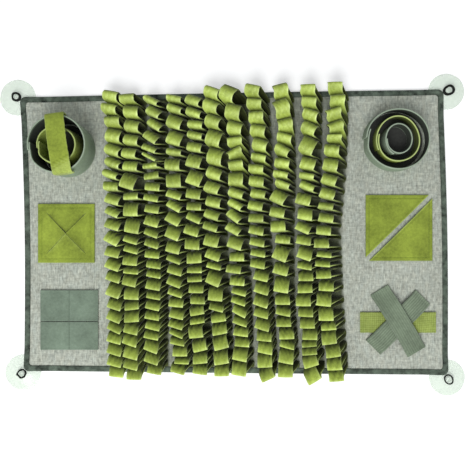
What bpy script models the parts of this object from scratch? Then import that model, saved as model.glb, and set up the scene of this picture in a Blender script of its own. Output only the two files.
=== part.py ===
"""Snuffle mat: a bound cloth mat with rows of felt loops, felt pockets and four suction cups.

The mat lies flat with its underside on z = 0. +X runs along its long side, +Y along its short side
and +Z up. The origin is on the underside, at the middle of the mat. Shapes are worked out in
millimetres and put into the meshes in metres.
"""

import math

import bmesh
import bpy
import numpy as np

MM = 0.001

# ---- driving dimensions, in millimetres -----------------------------------------------------

GAP = 0.3                    # air kept between pieces that touch on the real mat

# Corners of the mat, with the direction in which each suction cup sits outside its corner.
#          name   x       y       cup direction in degrees
CORNERS = [
    ("TL", -353.2, 225.3, 149.0),
    ("BL", -347.4, -228.2, 226.5),
    ("BR", 354.3, -234.8, 301.7),
    ("TR", 346.1, 237.7, 23.4),
]
# How far the middle of each side bows outwards, in the order of the corners: left, bottom, right, top.
SIDE_BOWS = [-3.5, 0.5, 3.5, 1.0]
CORNER_RADIUS = 10.0
SIDE_PLACES = (13.0, 28.0, 46.0)    # where a side has points, measured from the corner's rounding

CLOTH_THICK = 3.0
SEAM_LOW = 1.4               # underside of the cloth where the binding passes below it
SEAM_HIGH = 2.6              # top of the cloth where the binding presses it down
BINDING_THICK = 1.0
BINDING_WIDE = 9.5
BINDING_HIGH = 4.0

CUP_RADIUS = 30.0
CUP_OUT = 7.8                # from the mat's edge to the middle of a suction cup's neck
NECK_RADIUS = 2.8
HEAD_RADIUS = 4.2
# Upper side of a suction cup's disc, as radius and height.
DISC_TOP = [(30.0, 0.9), (24.0, 1.2), (16.0, 1.8), (8.0, 2.8), (NECK_RADIUS, 3.5)]
DISC_UNDER = [(0.0, 1.4), (8.0, 1.1), (18.0, 0.4), (26.5, 0.0)]
# The neck's head, as radius (share of HEAD_RADIUS) and height above the neck.
HEAD_LOW = 7.0
HEAD_SHAPE = [(1.0, 0.4), (1.0, 2.4), (0.7, 3.3), (0.0, 3.5)]
LIFT_CLEAR = 0.5             # air between a disc and the corner of the mat that lies over it
LIFT_REACH = 45.0            # distance from a neck at which the mat is back on the floor

TAB_BAND = 3.0
TAB_INNER = 4.2
TAB_LOW = 4.3
TAB_HIGH = 6.7
TAB_OPEN = 135.0             # the tab is round up to this angle to either side of the cup's direction
TAB_STEPS = 10

RIBBON_WIDE = 21.5
RIBBON_THICK = 2.0
LOOP_HIGH = 28.0             # middle of the felt at a loop's crown
STITCH_FLAT = 7.0            # flat stretch of ribbon that is sewn to the cloth between two loops
RIBBON_END_IN = 14.2         # last stitches, measured in from the mat's edge
END_SPREAD = 1.35            # the end loops are this much longer than the others
CROWN_SHARE = 0.36           # half a crown's length, as a share of the distance to the next crown
WIDEST_AT = 0.6              # share of the height at which a loop is widest
SHOULDER = 0.62              # share of a crown's half length that is flat
LOOP_SEED = 410
# How much the loops differ from each other. Places along the ribbon are shares of the spacing,
# lengths are in millimetres, sizes are factors and angles are in degrees.
CROWN_SHIFT_ALONG = 0.035
CROWN_SHIFT_ACROSS = 1.1
CROWN_HALF_RANGE = (0.92, 1.04)
LOOP_HIGH_RANGE = (0.93, 1.07)
LOOP_TURN_SPREAD = 6.5
LOOP_TURN_LIMIT = 11.0
LOOP_ROLL_RANGE = (-13.0, 3.0)
MITRE_LIMIT = 0.62           # cosine down to which a bend in a strip is mitred

# One row for each ribbon, from left to right. crown_x gives the line of the crowns at the top,
# upper quarter, middle, lower quarter and bottom. lean is how far the sewn line lies to the right
# of the crowns. top_in and bottom_in are how far the end crowns stay inside the mat's edge.
#   loops  crown_x                                  lean  top_in  bottom_in
RIBBONS = [
    (23, (-199.9, -198.3, -195.1, -193.5, -192.7), 12.0, 7.0, 6.0),
    (23, (-171.1, -167.9, -164.7, -166.3, -164.7), 12.0, 12.0, 3.0),
    (26, (-132.7, -129.5, -134.3, -129.5, -132.7), 12.0, 13.0, 5.0),
    (24, (-97.5, -95.9, -99.1, -95.9, -89.5), 12.0, 13.0, 11.0),
    (23, (-65.5, -63.9, -68.7, -62.3, -52.7), 12.0, 14.0, 10.0),
    (21, (-36.6, -31.8, -38.2, -23.8, -15.8), 12.0, 4.0, 9.0),
    (23, (-4.6, 5.0, 0.2, 8.2, 14.6), 12.0, 6.0, 9.0),
    (24, (29.0, 41.8, 35.4, 41.8, 51.4), 13.0, 6.0, 5.0),
    (22, (75.4, 83.4, 70.6, 73.8, 88.2), 12.0, 6.0, 5.0),
    (24, (117.0, 115.4, 110.6, 112.2, 125.0), 15.0, 3.0, 3.0),
    (24, (163.4, 158.6, 144.2, 150.6, 160.2), 17.0, 2.0, 4.0),
]
SEWN_LINE_PULL = 0.4         # share by which a sewn line is straighter than its crowns

FELT = 2.5                   # thickness of the pockets, rings and straps

TALL_CUP = (-273.6, 137.0)
TALL_TOP_SHIFT = (-3.5, 3.0)
TALL_RADIUS = 44.7
TALL_TOP_RADIUS = 44.4
TALL_HIGH = 50.0
TALL_INNER_SHIFT = (-3.2, -1.2)
TALL_INNER_RADIUS = 33.4
TALL_INNER_HIGH = 46.0
TALL_FLOOR_RADIUS = 40.4

TALL_STRAP_WIDE = 30.0
TALL_STRAP_TURN = 8.0        # degrees by which the strap is turned from the mat's short side
# Middle of the strap's felt, as place along the strap and height.
TALL_STRAP_PATH = [
    (-48.8, 38.0), (-49.7, 46.0), (-49.5, 51.4), (-44.6, 53.9), (-24.0, 56.6), (-2.0, 57.4),
    (20.0, 56.4), (37.2, 54.0), (42.3, 51.4), (43.1, 46.0), (43.5, 38.0),
]

LOW_CUP = (264.9, 151.9)
LOW_RADIUS = 50.3
LOW_HIGH = 29.0
LOW_TOP_SHIFT = (-0.6, -0.2)
LOW_TOP_IN = 1.2             # how much the wall narrows towards its rim
# Rings inside it: radius, wider across Y by, height of the rim, angle of the lap, length of the lap
LOW_MIDDLE = (36.6, 1.6, 27.5, 166.0, 26.0)
LOW_INNER = (23.8, 1.2, 26.0, 178.0, 30.0)
LAP_AIR = 0.8                # air between the two layers where a ring laps itself
LOW_FLOOR_RADIUS = 46.4
RING_FLOOR = 5.6             # the inner rings stand on the dark floor felt
FLOOR_THICK = 2.0

SLIT_POCKET = (-323.7, -230.0, -49.0, 48.5)
SLIT_REACH = 0.65            # share of the way to the corners that the cuts reach
SLIT_HALF = 0.8              # half the width of a cut
FLAP_MIDDLE = (0.34, 0.4)    # the middle of a flap: share of the way out, share of its tip's height
# How high the tip of each flap stands: bottom, right, top, left.
FLAP_LIFTS = [2.4, 3.0, 4.6, 2.6]

SAGE_POCKET = (-319.6, -224.1, -192.8, -94.0)
SAGE_MOUTH = -145.5
SAGE_MOUTH_GAP = 1.6
SAGE_PUFF = 2.4

CORNER_POCKET = (217.5, 327.9, -45.8, 63.1)
CORNER_GAP = 8.0
CORNER_PUFF = 2.4

STRAP_WIDE = 34.0
STRAP_STEPS = 12
# Straps laid across each other. Each one rises by lift where it crosses what lies below it, between
# the two reaches, which are measured in from its ends.
#    name                 felt         start             end              lift  reaches
STRAPS = [
    ("cross_strap_lime", "lime_felt", (208.5, -147.5), (333.5, -147.5), 0.0, (0.0, 10.0)),
    ("cross_strap_under", "sage_felt", (312.1, -105.8), (229.9, -188.7), 2.9, (1.0, 14.0)),
    ("cross_strap_over", "sage_felt", (240.1, -94.0), (301.9, -196.3), 5.9, (4.0, 34.0)),
]

ROUND_STEPS = 20
CUP_STEPS = 16

# name: colour and roughness
FINISHES = {
    "linen": ((0.36, 0.39, 0.35), 0.90),
    "binding": ((0.08, 0.10, 0.08), 0.85),
    "lime_felt": ((0.37, 0.52, 0.08), 0.95),
    "sage_felt": ((0.20, 0.28, 0.20), 0.95),
    "charcoal_felt": ((0.03, 0.035, 0.03), 0.95),
    "elastic": ((0.01, 0.012, 0.01), 0.80),
    "clear_vinyl": ((0.78, 0.88, 0.76), 0.15),
}


# ---- helpers ------------------------------------------------------------------------------

def clear_scene():
    for item in list(bpy.data.objects):
        bpy.data.objects.remove(item, do_unlink=True)


def finish(name):
    """Return the named material, made on first use."""
    found = bpy.data.materials.get(name)
    if found:
        return found
    colour, roughness = FINISHES[name]
    made = bpy.data.materials.new(name)
    made.use_nodes = True
    shader = made.node_tree.nodes["Principled BSDF"]
    shader.inputs["Base Color"].default_value = (*colour, 1.0)
    shader.inputs["Roughness"].default_value = roughness
    shader.inputs["Metallic"].default_value = 0.0
    return made


def add_piece(name, points, faces, finish_name, smooth_angle=40.0):
    """Make one object from points in millimetres and faces, with its faces turned outwards."""
    mesh = bpy.data.meshes.new(name)
    scaled = np.asarray(points, dtype=float).reshape(-1, 3) * MM
    mesh.from_pydata([tuple(p) for p in scaled], [], [tuple(int(i) for i in f) for f in faces])
    work = bmesh.new()
    work.from_mesh(mesh)
    bmesh.ops.recalc_face_normals(work, faces=work.faces)
    work.to_mesh(mesh)
    work.free()
    mesh.shade_smooth()
    mesh.set_sharp_from_angle(angle=math.radians(smooth_angle))
    mesh.materials.append(finish(finish_name))
    made = bpy.data.objects.new(name, mesh)
    bpy.context.collection.objects.link(made)
    return made


def swept_faces(count, sides, closed):
    """Faces that join count sections of as many sides, with end caps where the sweep is open."""
    faces = []
    spans = count if closed else count - 1
    for i in range(spans):
        a = i * sides
        b = ((i + 1) % count) * sides
        for j in range(sides):
            k = (j + 1) % sides
            faces.append((a + j, a + k, b + k, b + j))
    if not closed:
        faces.append(tuple(range(sides - 1, -1, -1)))
        faces.append(tuple(range((count - 1) * sides, count * sides)))
    return faces


def add_sweep(name, sections, finish_name, closed=False):
    """One closed solid through sections, an array of section, corner and coordinate."""
    sections = np.asarray(sections, dtype=float)
    count, sides = sections.shape[:2]
    return add_piece(name, sections, swept_faces(count, sides, closed), finish_name)


def add_turned(name, centre, profile, steps, finish_name):
    """Turn a profile of radius and height about a vertical axis. It starts and ends on the axis."""
    rings = [p for p in profile if p[0] > 0.0]
    angles = 2.0 * math.pi * np.arange(steps) / steps
    points = []
    for radius, height in rings:
        for angle in angles:
            points.append((centre[0] + radius * math.cos(angle), centre[1] + radius * math.sin(angle), height))
    first = len(points)
    points.append((centre[0], centre[1], profile[0][1]))
    last = len(points)
    points.append((centre[0], centre[1], profile[-1][1]))
    faces = []
    for i in range(len(rings) - 1):
        for j in range(steps):
            k = (j + 1) % steps
            faces.append((i * steps + j, i * steps + k, (i + 1) * steps + k, (i + 1) * steps + j))
    top = (len(rings) - 1) * steps
    for j in range(steps):
        k = (j + 1) % steps
        faces.append((first, k, j))
        faces.append((last, top + j, top + k))
    return add_piece(name, points, faces, finish_name)


def add_sheet(name, top_points, top_faces, thickness, finish_name):
    """Close a sheet: a copy of its upper side lies one thickness lower, and its edges are joined."""
    top = np.asarray(top_points, dtype=float)
    count = len(top)
    low = top - np.array([0.0, 0.0, thickness])
    edge_use = {}
    for face in top_faces:
        for a, b in zip(face, face[1:] + face[:1]):
            edge_use[(a, b)] = edge_use.get((a, b), 0) + 1
    faces = list(top_faces)
    faces += [tuple(i + count for i in reversed(face)) for face in top_faces]
    for a, b in edge_use:
        if (b, a) not in edge_use:
            faces.append((b, a, a + count, b + count))
    return add_piece(name, np.vstack([top, low]), faces, finish_name)


def grid_faces(rows, cols):
    """Faces of a grid of points stored row by row."""
    faces = []
    for i in range(rows - 1):
        for j in range(cols - 1):
            a = i * cols + j
            faces.append((a, a + 1, a + cols + 1, a + cols))
    return faces


# ---- the mat's outline and its lift over the suction cups -----------------------------------

def arc_centre(index):
    """Middle of the rounding at a corner of the mat."""
    x, y = CORNERS[index][1:3]
    return np.array([x - math.copysign(CORNER_RADIUS, x), y - math.copysign(CORNER_RADIUS, y)])


def neck_centre(index):
    """Middle of the suction cup at a corner: straight out from the rounding by CUP_OUT."""
    turn = math.radians(CORNERS[index][3])
    return arc_centre(index) + (CORNER_RADIUS + CUP_OUT) * np.array([math.cos(turn), math.sin(turn)])


def mat_lift(x, y):
    """Height by which the mat is raised at a place: over each disc, easing to nothing around it."""
    disc = sorted((r, z + LIFT_CLEAR) for r, z in DISC_TOP)
    radii = [r for r, z in disc]
    heights = [z for r, z in disc]
    lift = 0.0
    for index in range(4):
        centre = neck_centre(index)
        distance = math.hypot(x - centre[0], y - centre[1])
        if distance < CUP_RADIUS:
            here = float(np.interp(distance, radii, heights))
        else:
            left = max(0.0, 1.0 - (distance - CUP_RADIUS) / (LIFT_REACH - CUP_RADIUS))
            here = heights[-1] * left ** 2
        lift = max(lift, here)
    return lift


def outline(inset, radius):
    """Points round the mat at a distance inside its edge: four rounded corners and bowed sides.

    Each side has points close to its corners, where the mat rises, and one at its middle.
    """
    centres = []
    reach = inset + radius
    for corner in CORNERS:
        x, y = corner[1:3]
        centres.append(np.array([x - math.copysign(reach, x), y - math.copysign(reach, y)]))
    # Going round from the top left downwards, the arcs turn from 180 to 270 degrees and so on.
    points = []
    for index in range(4):
        start = 90.0 + 90.0 * index
        for step in range(4):
            angle = math.radians(start + 30.0 * step)
            points.append(centres[index] + radius * np.array([math.cos(angle), math.sin(angle)]))
        begin = points[-1]
        other = centres[(index + 1) % 4]
        angle = math.radians(start + 90.0)
        end = other + radius * np.array([math.cos(angle), math.sin(angle)])
        length = float(np.linalg.norm(end - begin))
        out = np.array([math.cos(angle), math.sin(angle)])
        near = [place / length for place in SIDE_PLACES]
        shares = near + [0.5] + [1.0 - share for share in reversed(near)]
        for share in shares:
            bow = SIDE_BOWS[index] * math.sin(math.pi * share)
            points.append(begin + share * (end - begin) + bow * out)
    return np.array(points)


def raised(points, height):
    """Give flat points a height above the floor, raised where the mat lies over a suction cup."""
    return np.array([(x, y, height + mat_lift(x, y)) for x, y in points])


def edge_y(x, top):
    """Where the mat's top or bottom edge runs at a place along X."""
    first, second = (CORNERS[0], CORNERS[3]) if top else (CORNERS[1], CORNERS[2])
    share = (x - first[1]) / (second[1] - first[1])
    return first[2] + share * (second[2] - first[2])


# ---- pieces -------------------------------------------------------------------------------

def add_mat_cloth():
    """The cloth: rings of points from its edge inwards, thinner in the seam under the binding."""
    # distance inside the edge, corner rounding, underside and top of the cloth there
    rings = [
        (1.3, 8.7, SEAM_LOW, SEAM_HIGH),
        (10.2, 5.0, SEAM_LOW, SEAM_HIGH),
        (11.4, 5.0, 0.0, CLOTH_THICK),
        (24.0, 8.0, 0.0, CLOTH_THICK),
        (40.0, 12.0, 0.0, CLOTH_THICK),
    ]
    under = [raised(outline(inset, radius), low) for inset, radius, low, high in rings]
    above = [raised(outline(inset, radius), high) for inset, radius, low, high in rings]
    layers = list(reversed(under)) + above
    sides = len(layers[0])
    faces = []
    for i in range(len(layers) - 1):
        for j in range(sides):
            k = (j + 1) % sides
            faces.append((i * sides + j, i * sides + k, (i + 1) * sides + k, (i + 1) * sides + j))
    faces.append(tuple(range(sides)))
    top = (len(layers) - 1) * sides
    faces.append(tuple(range(top + sides - 1, top - 1, -1)))
    add_piece("mat_cloth", np.vstack(layers), faces, "linen")


def add_mat_binding():
    """Binding tape folded round the edge: a U section carried round the mat."""
    inner = BINDING_WIDE
    wall = BINDING_THICK
    top = BINDING_HIGH
    # distance inside the edge and height, round the section
    section = [
        (inner, 0.0), (0.6, 0.0), (0.0, 0.9), (0.0, top - 0.9), (0.6, top), (inner, top),
        (inner, top - wall), (wall, top - wall), (wall, wall), (inner, wall),
    ]
    layers = []
    for inset, height in section:
        radius = max(CORNER_RADIUS - inset, 5.0)
        layers.append(raised(outline(inset, radius), height))
    sections = np.array(layers).transpose(1, 0, 2)
    add_sweep("mat_binding", sections, "binding", closed=True)


def ribbon_loops(index):
    """Work out the loops of one ribbon: stitches along Y, and each crown's place, size and turn."""
    count, crown_line, lean, top_in, bottom_in = RIBBONS[index]
    rng = np.random.default_rng(LOOP_SEED + index)
    weights = np.ones(count - 1)
    weights[0] = END_SPREAD
    weights[-1] = END_SPREAD
    along = np.concatenate([[0.0], np.cumsum(weights)]) / weights.sum()
    quarters = np.linspace(0.0, 1.0, 5)
    crown_x = np.interp(along, quarters, crown_line)
    sewn_x = crown_x + lean + SEWN_LINE_PULL * (np.mean(crown_line) - crown_x)
    top = edge_y(crown_line[0], True)
    bottom = edge_y(crown_line[-1], False)
    crown_y = (top - top_in) + along * ((bottom + bottom_in) - (top - top_in))
    spacing = np.empty(count)
    spacing[1:-1] = 0.5 * (crown_y[:-2] - crown_y[2:])
    spacing[0] = crown_y[0] - crown_y[1]
    spacing[-1] = crown_y[-2] - crown_y[-1]
    crown_y = crown_y + rng.uniform(-CROWN_SHIFT_ALONG, CROWN_SHIFT_ALONG, count) * spacing
    crown_x = crown_x + rng.uniform(-CROWN_SHIFT_ACROSS, CROWN_SHIFT_ACROSS, count)
    half = CROWN_SHARE * spacing * rng.uniform(*CROWN_HALF_RANGE, count)
    high = LOOP_HIGH * rng.uniform(*LOOP_HIGH_RANGE, count)
    turned = rng.normal(0.0, LOOP_TURN_SPREAD, count)
    turn = np.radians(np.clip(turned, -LOOP_TURN_LIMIT, LOOP_TURN_LIMIT))
    roll = np.radians(rng.uniform(*LOOP_ROLL_RANGE, count))
    stitches = np.linspace(top - RIBBON_END_IN, bottom + RIBBON_END_IN, count + 1)
    return {
        "count": count, "stitches": stitches, "sewn_x": sewn_x, "crown_x": crown_x,
        "crown_y": crown_y, "half": half, "high": high, "turn": turn, "roll": roll,
    }


def ribbon_line(loops):
    """Middle line of a ribbon's felt, with the direction across the ribbon at each point.

    A loop goes up from one stitched flat, is widest at WIDEST_AT of its height, has a flat crown
    and comes down to the next flat. Height carries the line from the sewn place to the crown's
    place, and turns it with the crown.
    """
    low = CLOTH_THICK + GAP + 0.5 * RIBBON_THICK
    stitches = loops["stitches"]
    points = []
    across = []

    def put(k, offset, share):
        base_y = 0.5 * (stitches[k] + stitches[k + 1])
        turn = loops["turn"][k] * share
        roll = loops["roll"][k] * share
        x = loops["sewn_x"][k] + share * (loops["crown_x"][k] - loops["sewn_x"][k])
        y = base_y + share * (loops["crown_y"][k] - base_y)
        points.append((x - offset * math.sin(turn), y + offset * math.cos(turn),
                       low + share * (loops["high"][k] - low)))
        flat = math.cos(roll)
        across.append((flat * math.cos(turn), flat * math.sin(turn), -math.sin(roll)))

    first = stitches[0] + 0.5 * STITCH_FLAT
    points.append((loops["sewn_x"][0], first, low))
    across.append((1.0, 0.0, 0.0))
    for k in range(loops["count"]):
        base = 0.5 * (stitches[k] - stitches[k + 1] - STITCH_FLAT)
        half = loops["half"][k]
        put(k, base, 0.0)
        put(k, half, WIDEST_AT)
        put(k, SHOULDER * half, 1.0)
        put(k, -SHOULDER * half, 1.0)
        put(k, -half, WIDEST_AT)
        put(k, -base, 0.0)
    last = stitches[-1] - 0.5 * STITCH_FLAT
    points.append((loops["sewn_x"][-1], last, low))
    across.append((1.0, 0.0, 0.0))
    return np.array(points), np.array(across)


def strip_sections(line, across, width, thickness):
    """Sections of a flat strip: the line's bends are mitred, so the felt keeps its thickness."""
    steps = np.diff(line, axis=0)
    steps /= np.linalg.norm(steps, axis=1)[:, None]
    before = np.vstack([steps[:1], steps])
    after = np.vstack([steps, steps[-1:]])
    tangent = before + after
    tangent /= np.linalg.norm(tangent, axis=1)[:, None]
    normal = np.cross(across, tangent)
    normal /= np.linalg.norm(normal, axis=1)[:, None]
    mitre = 1.0 / np.clip(np.einsum("ij,ij->i", tangent, after), MITRE_LIMIT, 1.0)
    half_wide = 0.5 * width * across
    half_thick = 0.5 * thickness * mitre[:, None] * normal
    return np.stack([
        line - half_wide - half_thick, line + half_wide - half_thick,
        line + half_wide + half_thick, line - half_wide + half_thick,
    ], axis=1)


def add_ribbons():
    for index in range(len(RIBBONS)):
        line, across = ribbon_line(ribbon_loops(index))
        sections = strip_sections(line, across, RIBBON_WIDE, RIBBON_THICK)
        sections[:, :, 2] = np.maximum(sections[:, :, 2], CLOTH_THICK + GAP)
        add_sweep(f"loop_ribbon_{index + 1:02d}", sections, "lime_felt")


def add_cup_wall(name, centre, top_shift, radius, top_radius, low, high, finish_name):
    """A round wall of felt, leaning and narrowing from its foot to its rim."""
    sections = []
    for step in range(ROUND_STEPS):
        angle = 2.0 * math.pi * step / ROUND_STEPS
        out = np.array([math.cos(angle), math.sin(angle)])
        foot = np.array(centre)
        rim = foot + np.array(top_shift)
        section = []
        for middle, size, height in ((foot, radius, low), (rim, top_radius, high)):
            section.append((*(middle + (size - FELT) * out), height))
            section.append((*(middle + size * out), height))
        sections.append([section[0], section[1], section[3], section[2]])
    add_sweep(name, sections, finish_name, closed=True)


def add_lapped_ring(name, centre, ring, low, finish_name):
    """A strip of felt bent into a ring, that starts inside and ends lapped round its start."""
    radius, wider, high, lap_angle, lap_length = ring
    start = math.radians(lap_angle)
    sweep = 2.0 * math.pi + lap_length / radius
    drift = (FELT + LAP_AIR) / (2.0 * math.pi)
    steps = ROUND_STEPS + 2
    sections = []
    for step in range(steps + 1):
        turned = sweep * step / steps
        angle = start + turned
        size = radius - drift * (sweep - turned)
        out = np.array([math.cos(angle), math.sin(angle)])
        stretch = np.array([1.0, 1.0 + wider / radius])
        inner = np.array(centre) + (size - FELT) * out * stretch
        outer = np.array(centre) + size * out * stretch
        sections.append([(*inner, low), (*outer, low), (*outer, high), (*inner, high)])
    add_sweep(name, sections, finish_name)


def add_floor_disc(name, centre, radius):
    low = CLOTH_THICK + GAP
    high = low + FLOOR_THICK
    profile = [(0.0, low), (radius, low), (radius, high), (0.0, high)]
    add_turned(name, centre, profile, ROUND_STEPS, "charcoal_felt")


def add_tall_cup():
    """The tall pocket: sage wall, lime ring inside it, dark floor and a strap over the top."""
    low = CLOTH_THICK + GAP
    add_cup_wall("tall_cup_wall", TALL_CUP, TALL_TOP_SHIFT, TALL_RADIUS, TALL_TOP_RADIUS,
                 low, TALL_HIGH, "sage_felt")
    add_floor_disc("tall_cup_floor", TALL_CUP, TALL_FLOOR_RADIUS)
    inner = np.array(TALL_CUP) + np.array(TALL_INNER_SHIFT)
    add_cup_wall("tall_cup_inner", inner, (0.0, 1.0), TALL_INNER_RADIUS, TALL_INNER_RADIUS,
                 RING_FLOOR, TALL_INNER_HIGH, "lime_felt")
    turn = math.radians(TALL_STRAP_TURN)
    along = np.array([math.sin(turn), -math.cos(turn), 0.0])
    side = np.array([math.cos(turn), math.sin(turn), 0.0])
    middle = np.array([TALL_CUP[0], TALL_CUP[1], 0.0])
    line = np.array([middle + place * along + (0.0, 0.0, height) for place, height in TALL_STRAP_PATH])
    across = np.tile(side, (len(line), 1))
    sections = strip_sections(line, across, TALL_STRAP_WIDE, FELT)
    add_sweep("tall_cup_strap", sections, "lime_felt")


def add_low_cup():
    """The low pocket: a wall and two lapped rings inside each other, on a dark floor."""
    low = CLOTH_THICK + GAP
    add_cup_wall("low_cup_wall", LOW_CUP, LOW_TOP_SHIFT, LOW_RADIUS, LOW_RADIUS - LOW_TOP_IN,
                 low, LOW_HIGH, "sage_felt")
    add_floor_disc("low_cup_floor", LOW_CUP, LOW_FLOOR_RADIUS)
    add_lapped_ring("low_cup_middle", LOW_CUP, LOW_MIDDLE, RING_FLOOR, "lime_felt")
    add_lapped_ring("low_cup_inner", LOW_CUP, LOW_INNER, RING_FLOOR, "sage_felt")


def add_slit_pocket():
    """A square with an X cut into it. Its four flaps are joined outside the cuts and rise to their tips."""
    left, right, bottom, top = SLIT_POCKET
    middle = np.array([0.5 * (left + right), 0.5 * (bottom + top)])
    half = np.array([0.5 * (right - left), 0.5 * (top - bottom)])
    base = CLOTH_THICK + GAP + FELT
    slit = SLIT_HALF / half[0]
    columns = np.array([-1.0, 0.0, 1.0])
    points = []
    faces = []
    # Two joined rings of eight points: the edge, and the square through the ends of the cuts.
    for level in (1.0, SLIT_REACH):
        for flap in range(4):
            turn = 0.5 * math.pi * flap
            for u in columns[:2]:
                x, y = u * level, -level
                spot = (x * math.cos(turn) - y * math.sin(turn), x * math.sin(turn) + y * math.cos(turn))
                points.append((*(middle + half * spot), base))
    for j in range(8):
        k = (j + 1) % 8
        faces.append((j, k, 8 + k, 8 + j))
    for flap in range(4):
        turn = 0.5 * math.pi * flap
        rows = []
        for level, lift in (FLAP_MIDDLE, (2.0 * slit, 1.0)):
            row = []
            for u in columns:
                x, y = u * (level - slit), -level
                spot = (x * math.cos(turn) - y * math.sin(turn), x * math.sin(turn) + y * math.cos(turn))
                row.append(len(points))
                points.append((*(middle + half * spot), base + lift * FLAP_LIFTS[flap]))
            rows.append(row)
        ring = [8 + 2 * flap, 8 + 2 * flap + 1, 8 + (2 * flap + 2) % 8]
        for lower, upper in ((ring, rows[0]), (rows[0], rows[1])):
            for j in range(2):
                faces.append((lower[j], lower[j + 1], upper[j + 1], upper[j]))
    add_sheet("slit_pocket", points, faces, FELT, "lime_felt")


def add_sage_pocket(name, box, mouth_at_top):
    """A patch sewn on three sides and down its middle, puffed a little at its open side."""
    left, right, bottom, top = box
    rows, cols = 4, 9
    base = CLOTH_THICK + GAP + FELT
    points = []
    for i in range(rows):
        v = i / (rows - 1)
        for j in range(cols):
            u = j / (cols - 1)
            openness = v if mouth_at_top else 1.0 - v
            puff = SAGE_PUFF * openness ** 2 * abs(math.sin(2.0 * math.pi * u))
            points.append((left + u * (right - left), bottom + v * (top - bottom), base + puff))
    add_sheet(name, points, grid_faces(rows, cols), FELT, "sage_felt")


def add_corner_pocket(name, corner, first, second):
    """A triangle sewn on its two short sides. Its long side stands open a little."""
    corner, first, second = (np.array(p) for p in (corner, first, second))
    rows = 5
    base = CLOTH_THICK + GAP + FELT
    points = []
    starts = []
    for i in range(rows + 1):
        starts.append(len(points))
        share = i / rows
        for j in range(i + 1):
            place = j / i if i else 0.0
            spot = corner + share * ((1.0 - place) * (first - corner) + place * (second - corner))
            puff = CORNER_PUFF * share ** 3 * math.sin(math.pi * place)
            points.append((*spot, base + puff))
    faces = []
    for i in range(rows):
        for j in range(i + 1):
            a = starts[i] + j
            b = starts[i + 1] + j
            faces.append((a, b, b + 1))
            if j < i:
                faces.append((a, b + 1, a + 1))
    add_sheet(name, points, faces, FELT, "lime_felt")


def add_corner_pockets():
    """Two triangles that make a square, parted along the diagonal from top right to bottom left."""
    left, right, bottom, top = CORNER_POCKET
    back = CORNER_GAP / math.sqrt(2.0)
    add_corner_pocket("corner_pocket_left", (left, top), (left, bottom + back), (right - back, top))
    add_corner_pocket("corner_pocket_right", (right, bottom), (right, top - back), (left + back, bottom))


def add_cross_strap(name, finish_name, start, end, lift, reaches):
    """A flat strap sewn at its ends, which rises over what it crosses."""
    low_reach, high_reach = reaches
    start = np.array(start)
    end = np.array(end)
    length = float(np.linalg.norm(end - start))
    along = (end - start) / length
    side = np.array([-along[1], along[0], 0.0])
    low = CLOTH_THICK + GAP + 0.5 * FELT
    line = []
    for step in range(STRAP_STEPS + 1):
        place = length * step / STRAP_STEPS
        near = min(place, length - place)
        rise = min(max((near - low_reach) / (high_reach - low_reach), 0.0), 1.0)
        spot = start + place * along
        line.append((spot[0], spot[1], low + lift * rise * rise * (3.0 - 2.0 * rise)))
    across = np.tile(side, (len(line), 1))
    add_sweep(name, strip_sections(np.array(line), across, STRAP_WIDE, FELT), finish_name)


def add_suction_cup(index):
    """A shallow clear disc with a flat rim below, a neck and a rounded head."""
    profile = DISC_UNDER + [(CUP_RADIUS, 0.0)] + DISC_TOP + [(NECK_RADIUS, HEAD_LOW)]
    profile += [(share * HEAD_RADIUS, HEAD_LOW + height) for share, height in HEAD_SHAPE]
    add_turned(f"suction_cup_{index + 1}", neck_centre(index), profile, CUP_STEPS, "clear_vinyl")


def add_corner_tab(index):
    """A loop of elastic round the neck: a ring that narrows to where it meets the binding."""
    neck = neck_centre(index)
    turn = math.radians(CORNERS[index][3])
    ring = TAB_INNER + 0.5 * TAB_BAND
    foot = neck - np.array([math.cos(turn), math.sin(turn)]) * (CUP_OUT - GAP - 0.5 * TAB_BAND)
    line = []
    for step in range(TAB_STEPS + 1):
        angle = turn + math.radians(TAB_OPEN) * (2.0 * step / TAB_STEPS - 1.0)
        line.append((neck[0] + ring * math.cos(angle), neck[1] + ring * math.sin(angle)))
    line.append(tuple(foot))
    line = np.array(line)
    centre = line.mean(axis=0)
    sections = []
    for spot in line:
        out = spot - centre
        out /= np.linalg.norm(out)
        inner = spot - 0.5 * TAB_BAND * out
        outer = spot + 0.5 * TAB_BAND * out
        sections.append([(*inner, TAB_LOW), (*outer, TAB_LOW), (*outer, TAB_HIGH), (*inner, TAB_HIGH)])
    add_sweep(f"corner_tab_{index + 1}", sections, "elastic", closed=True)


def build():
    clear_scene()
    add_mat_cloth()
    add_mat_binding()
    add_ribbons()
    add_tall_cup()
    add_low_cup()
    add_slit_pocket()
    left, right, bottom, top = SAGE_POCKET
    half_gap = 0.5 * SAGE_MOUTH_GAP
    add_sage_pocket("sage_pocket_top", (left, right, SAGE_MOUTH + half_gap, top), False)
    add_sage_pocket("sage_pocket_bottom", (left, right, bottom, SAGE_MOUTH - half_gap), True)
    add_corner_pockets()
    for strap in STRAPS:
        add_cross_strap(*strap)
    for index in range(4):
        add_suction_cup(index)
        add_corner_tab(index)


build()
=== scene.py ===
"""Looks of the snuffle mat: bound linen, rows of felt loops, felt pockets, straps and suction cups.

Shapes are worked out in millimetres in the mat's frame (+X along its long side, +Y along its short
side, +Z up) and put into the meshes in metres. Each piece takes the place of the plain solid whose
node it names.
"""

import math

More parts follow.
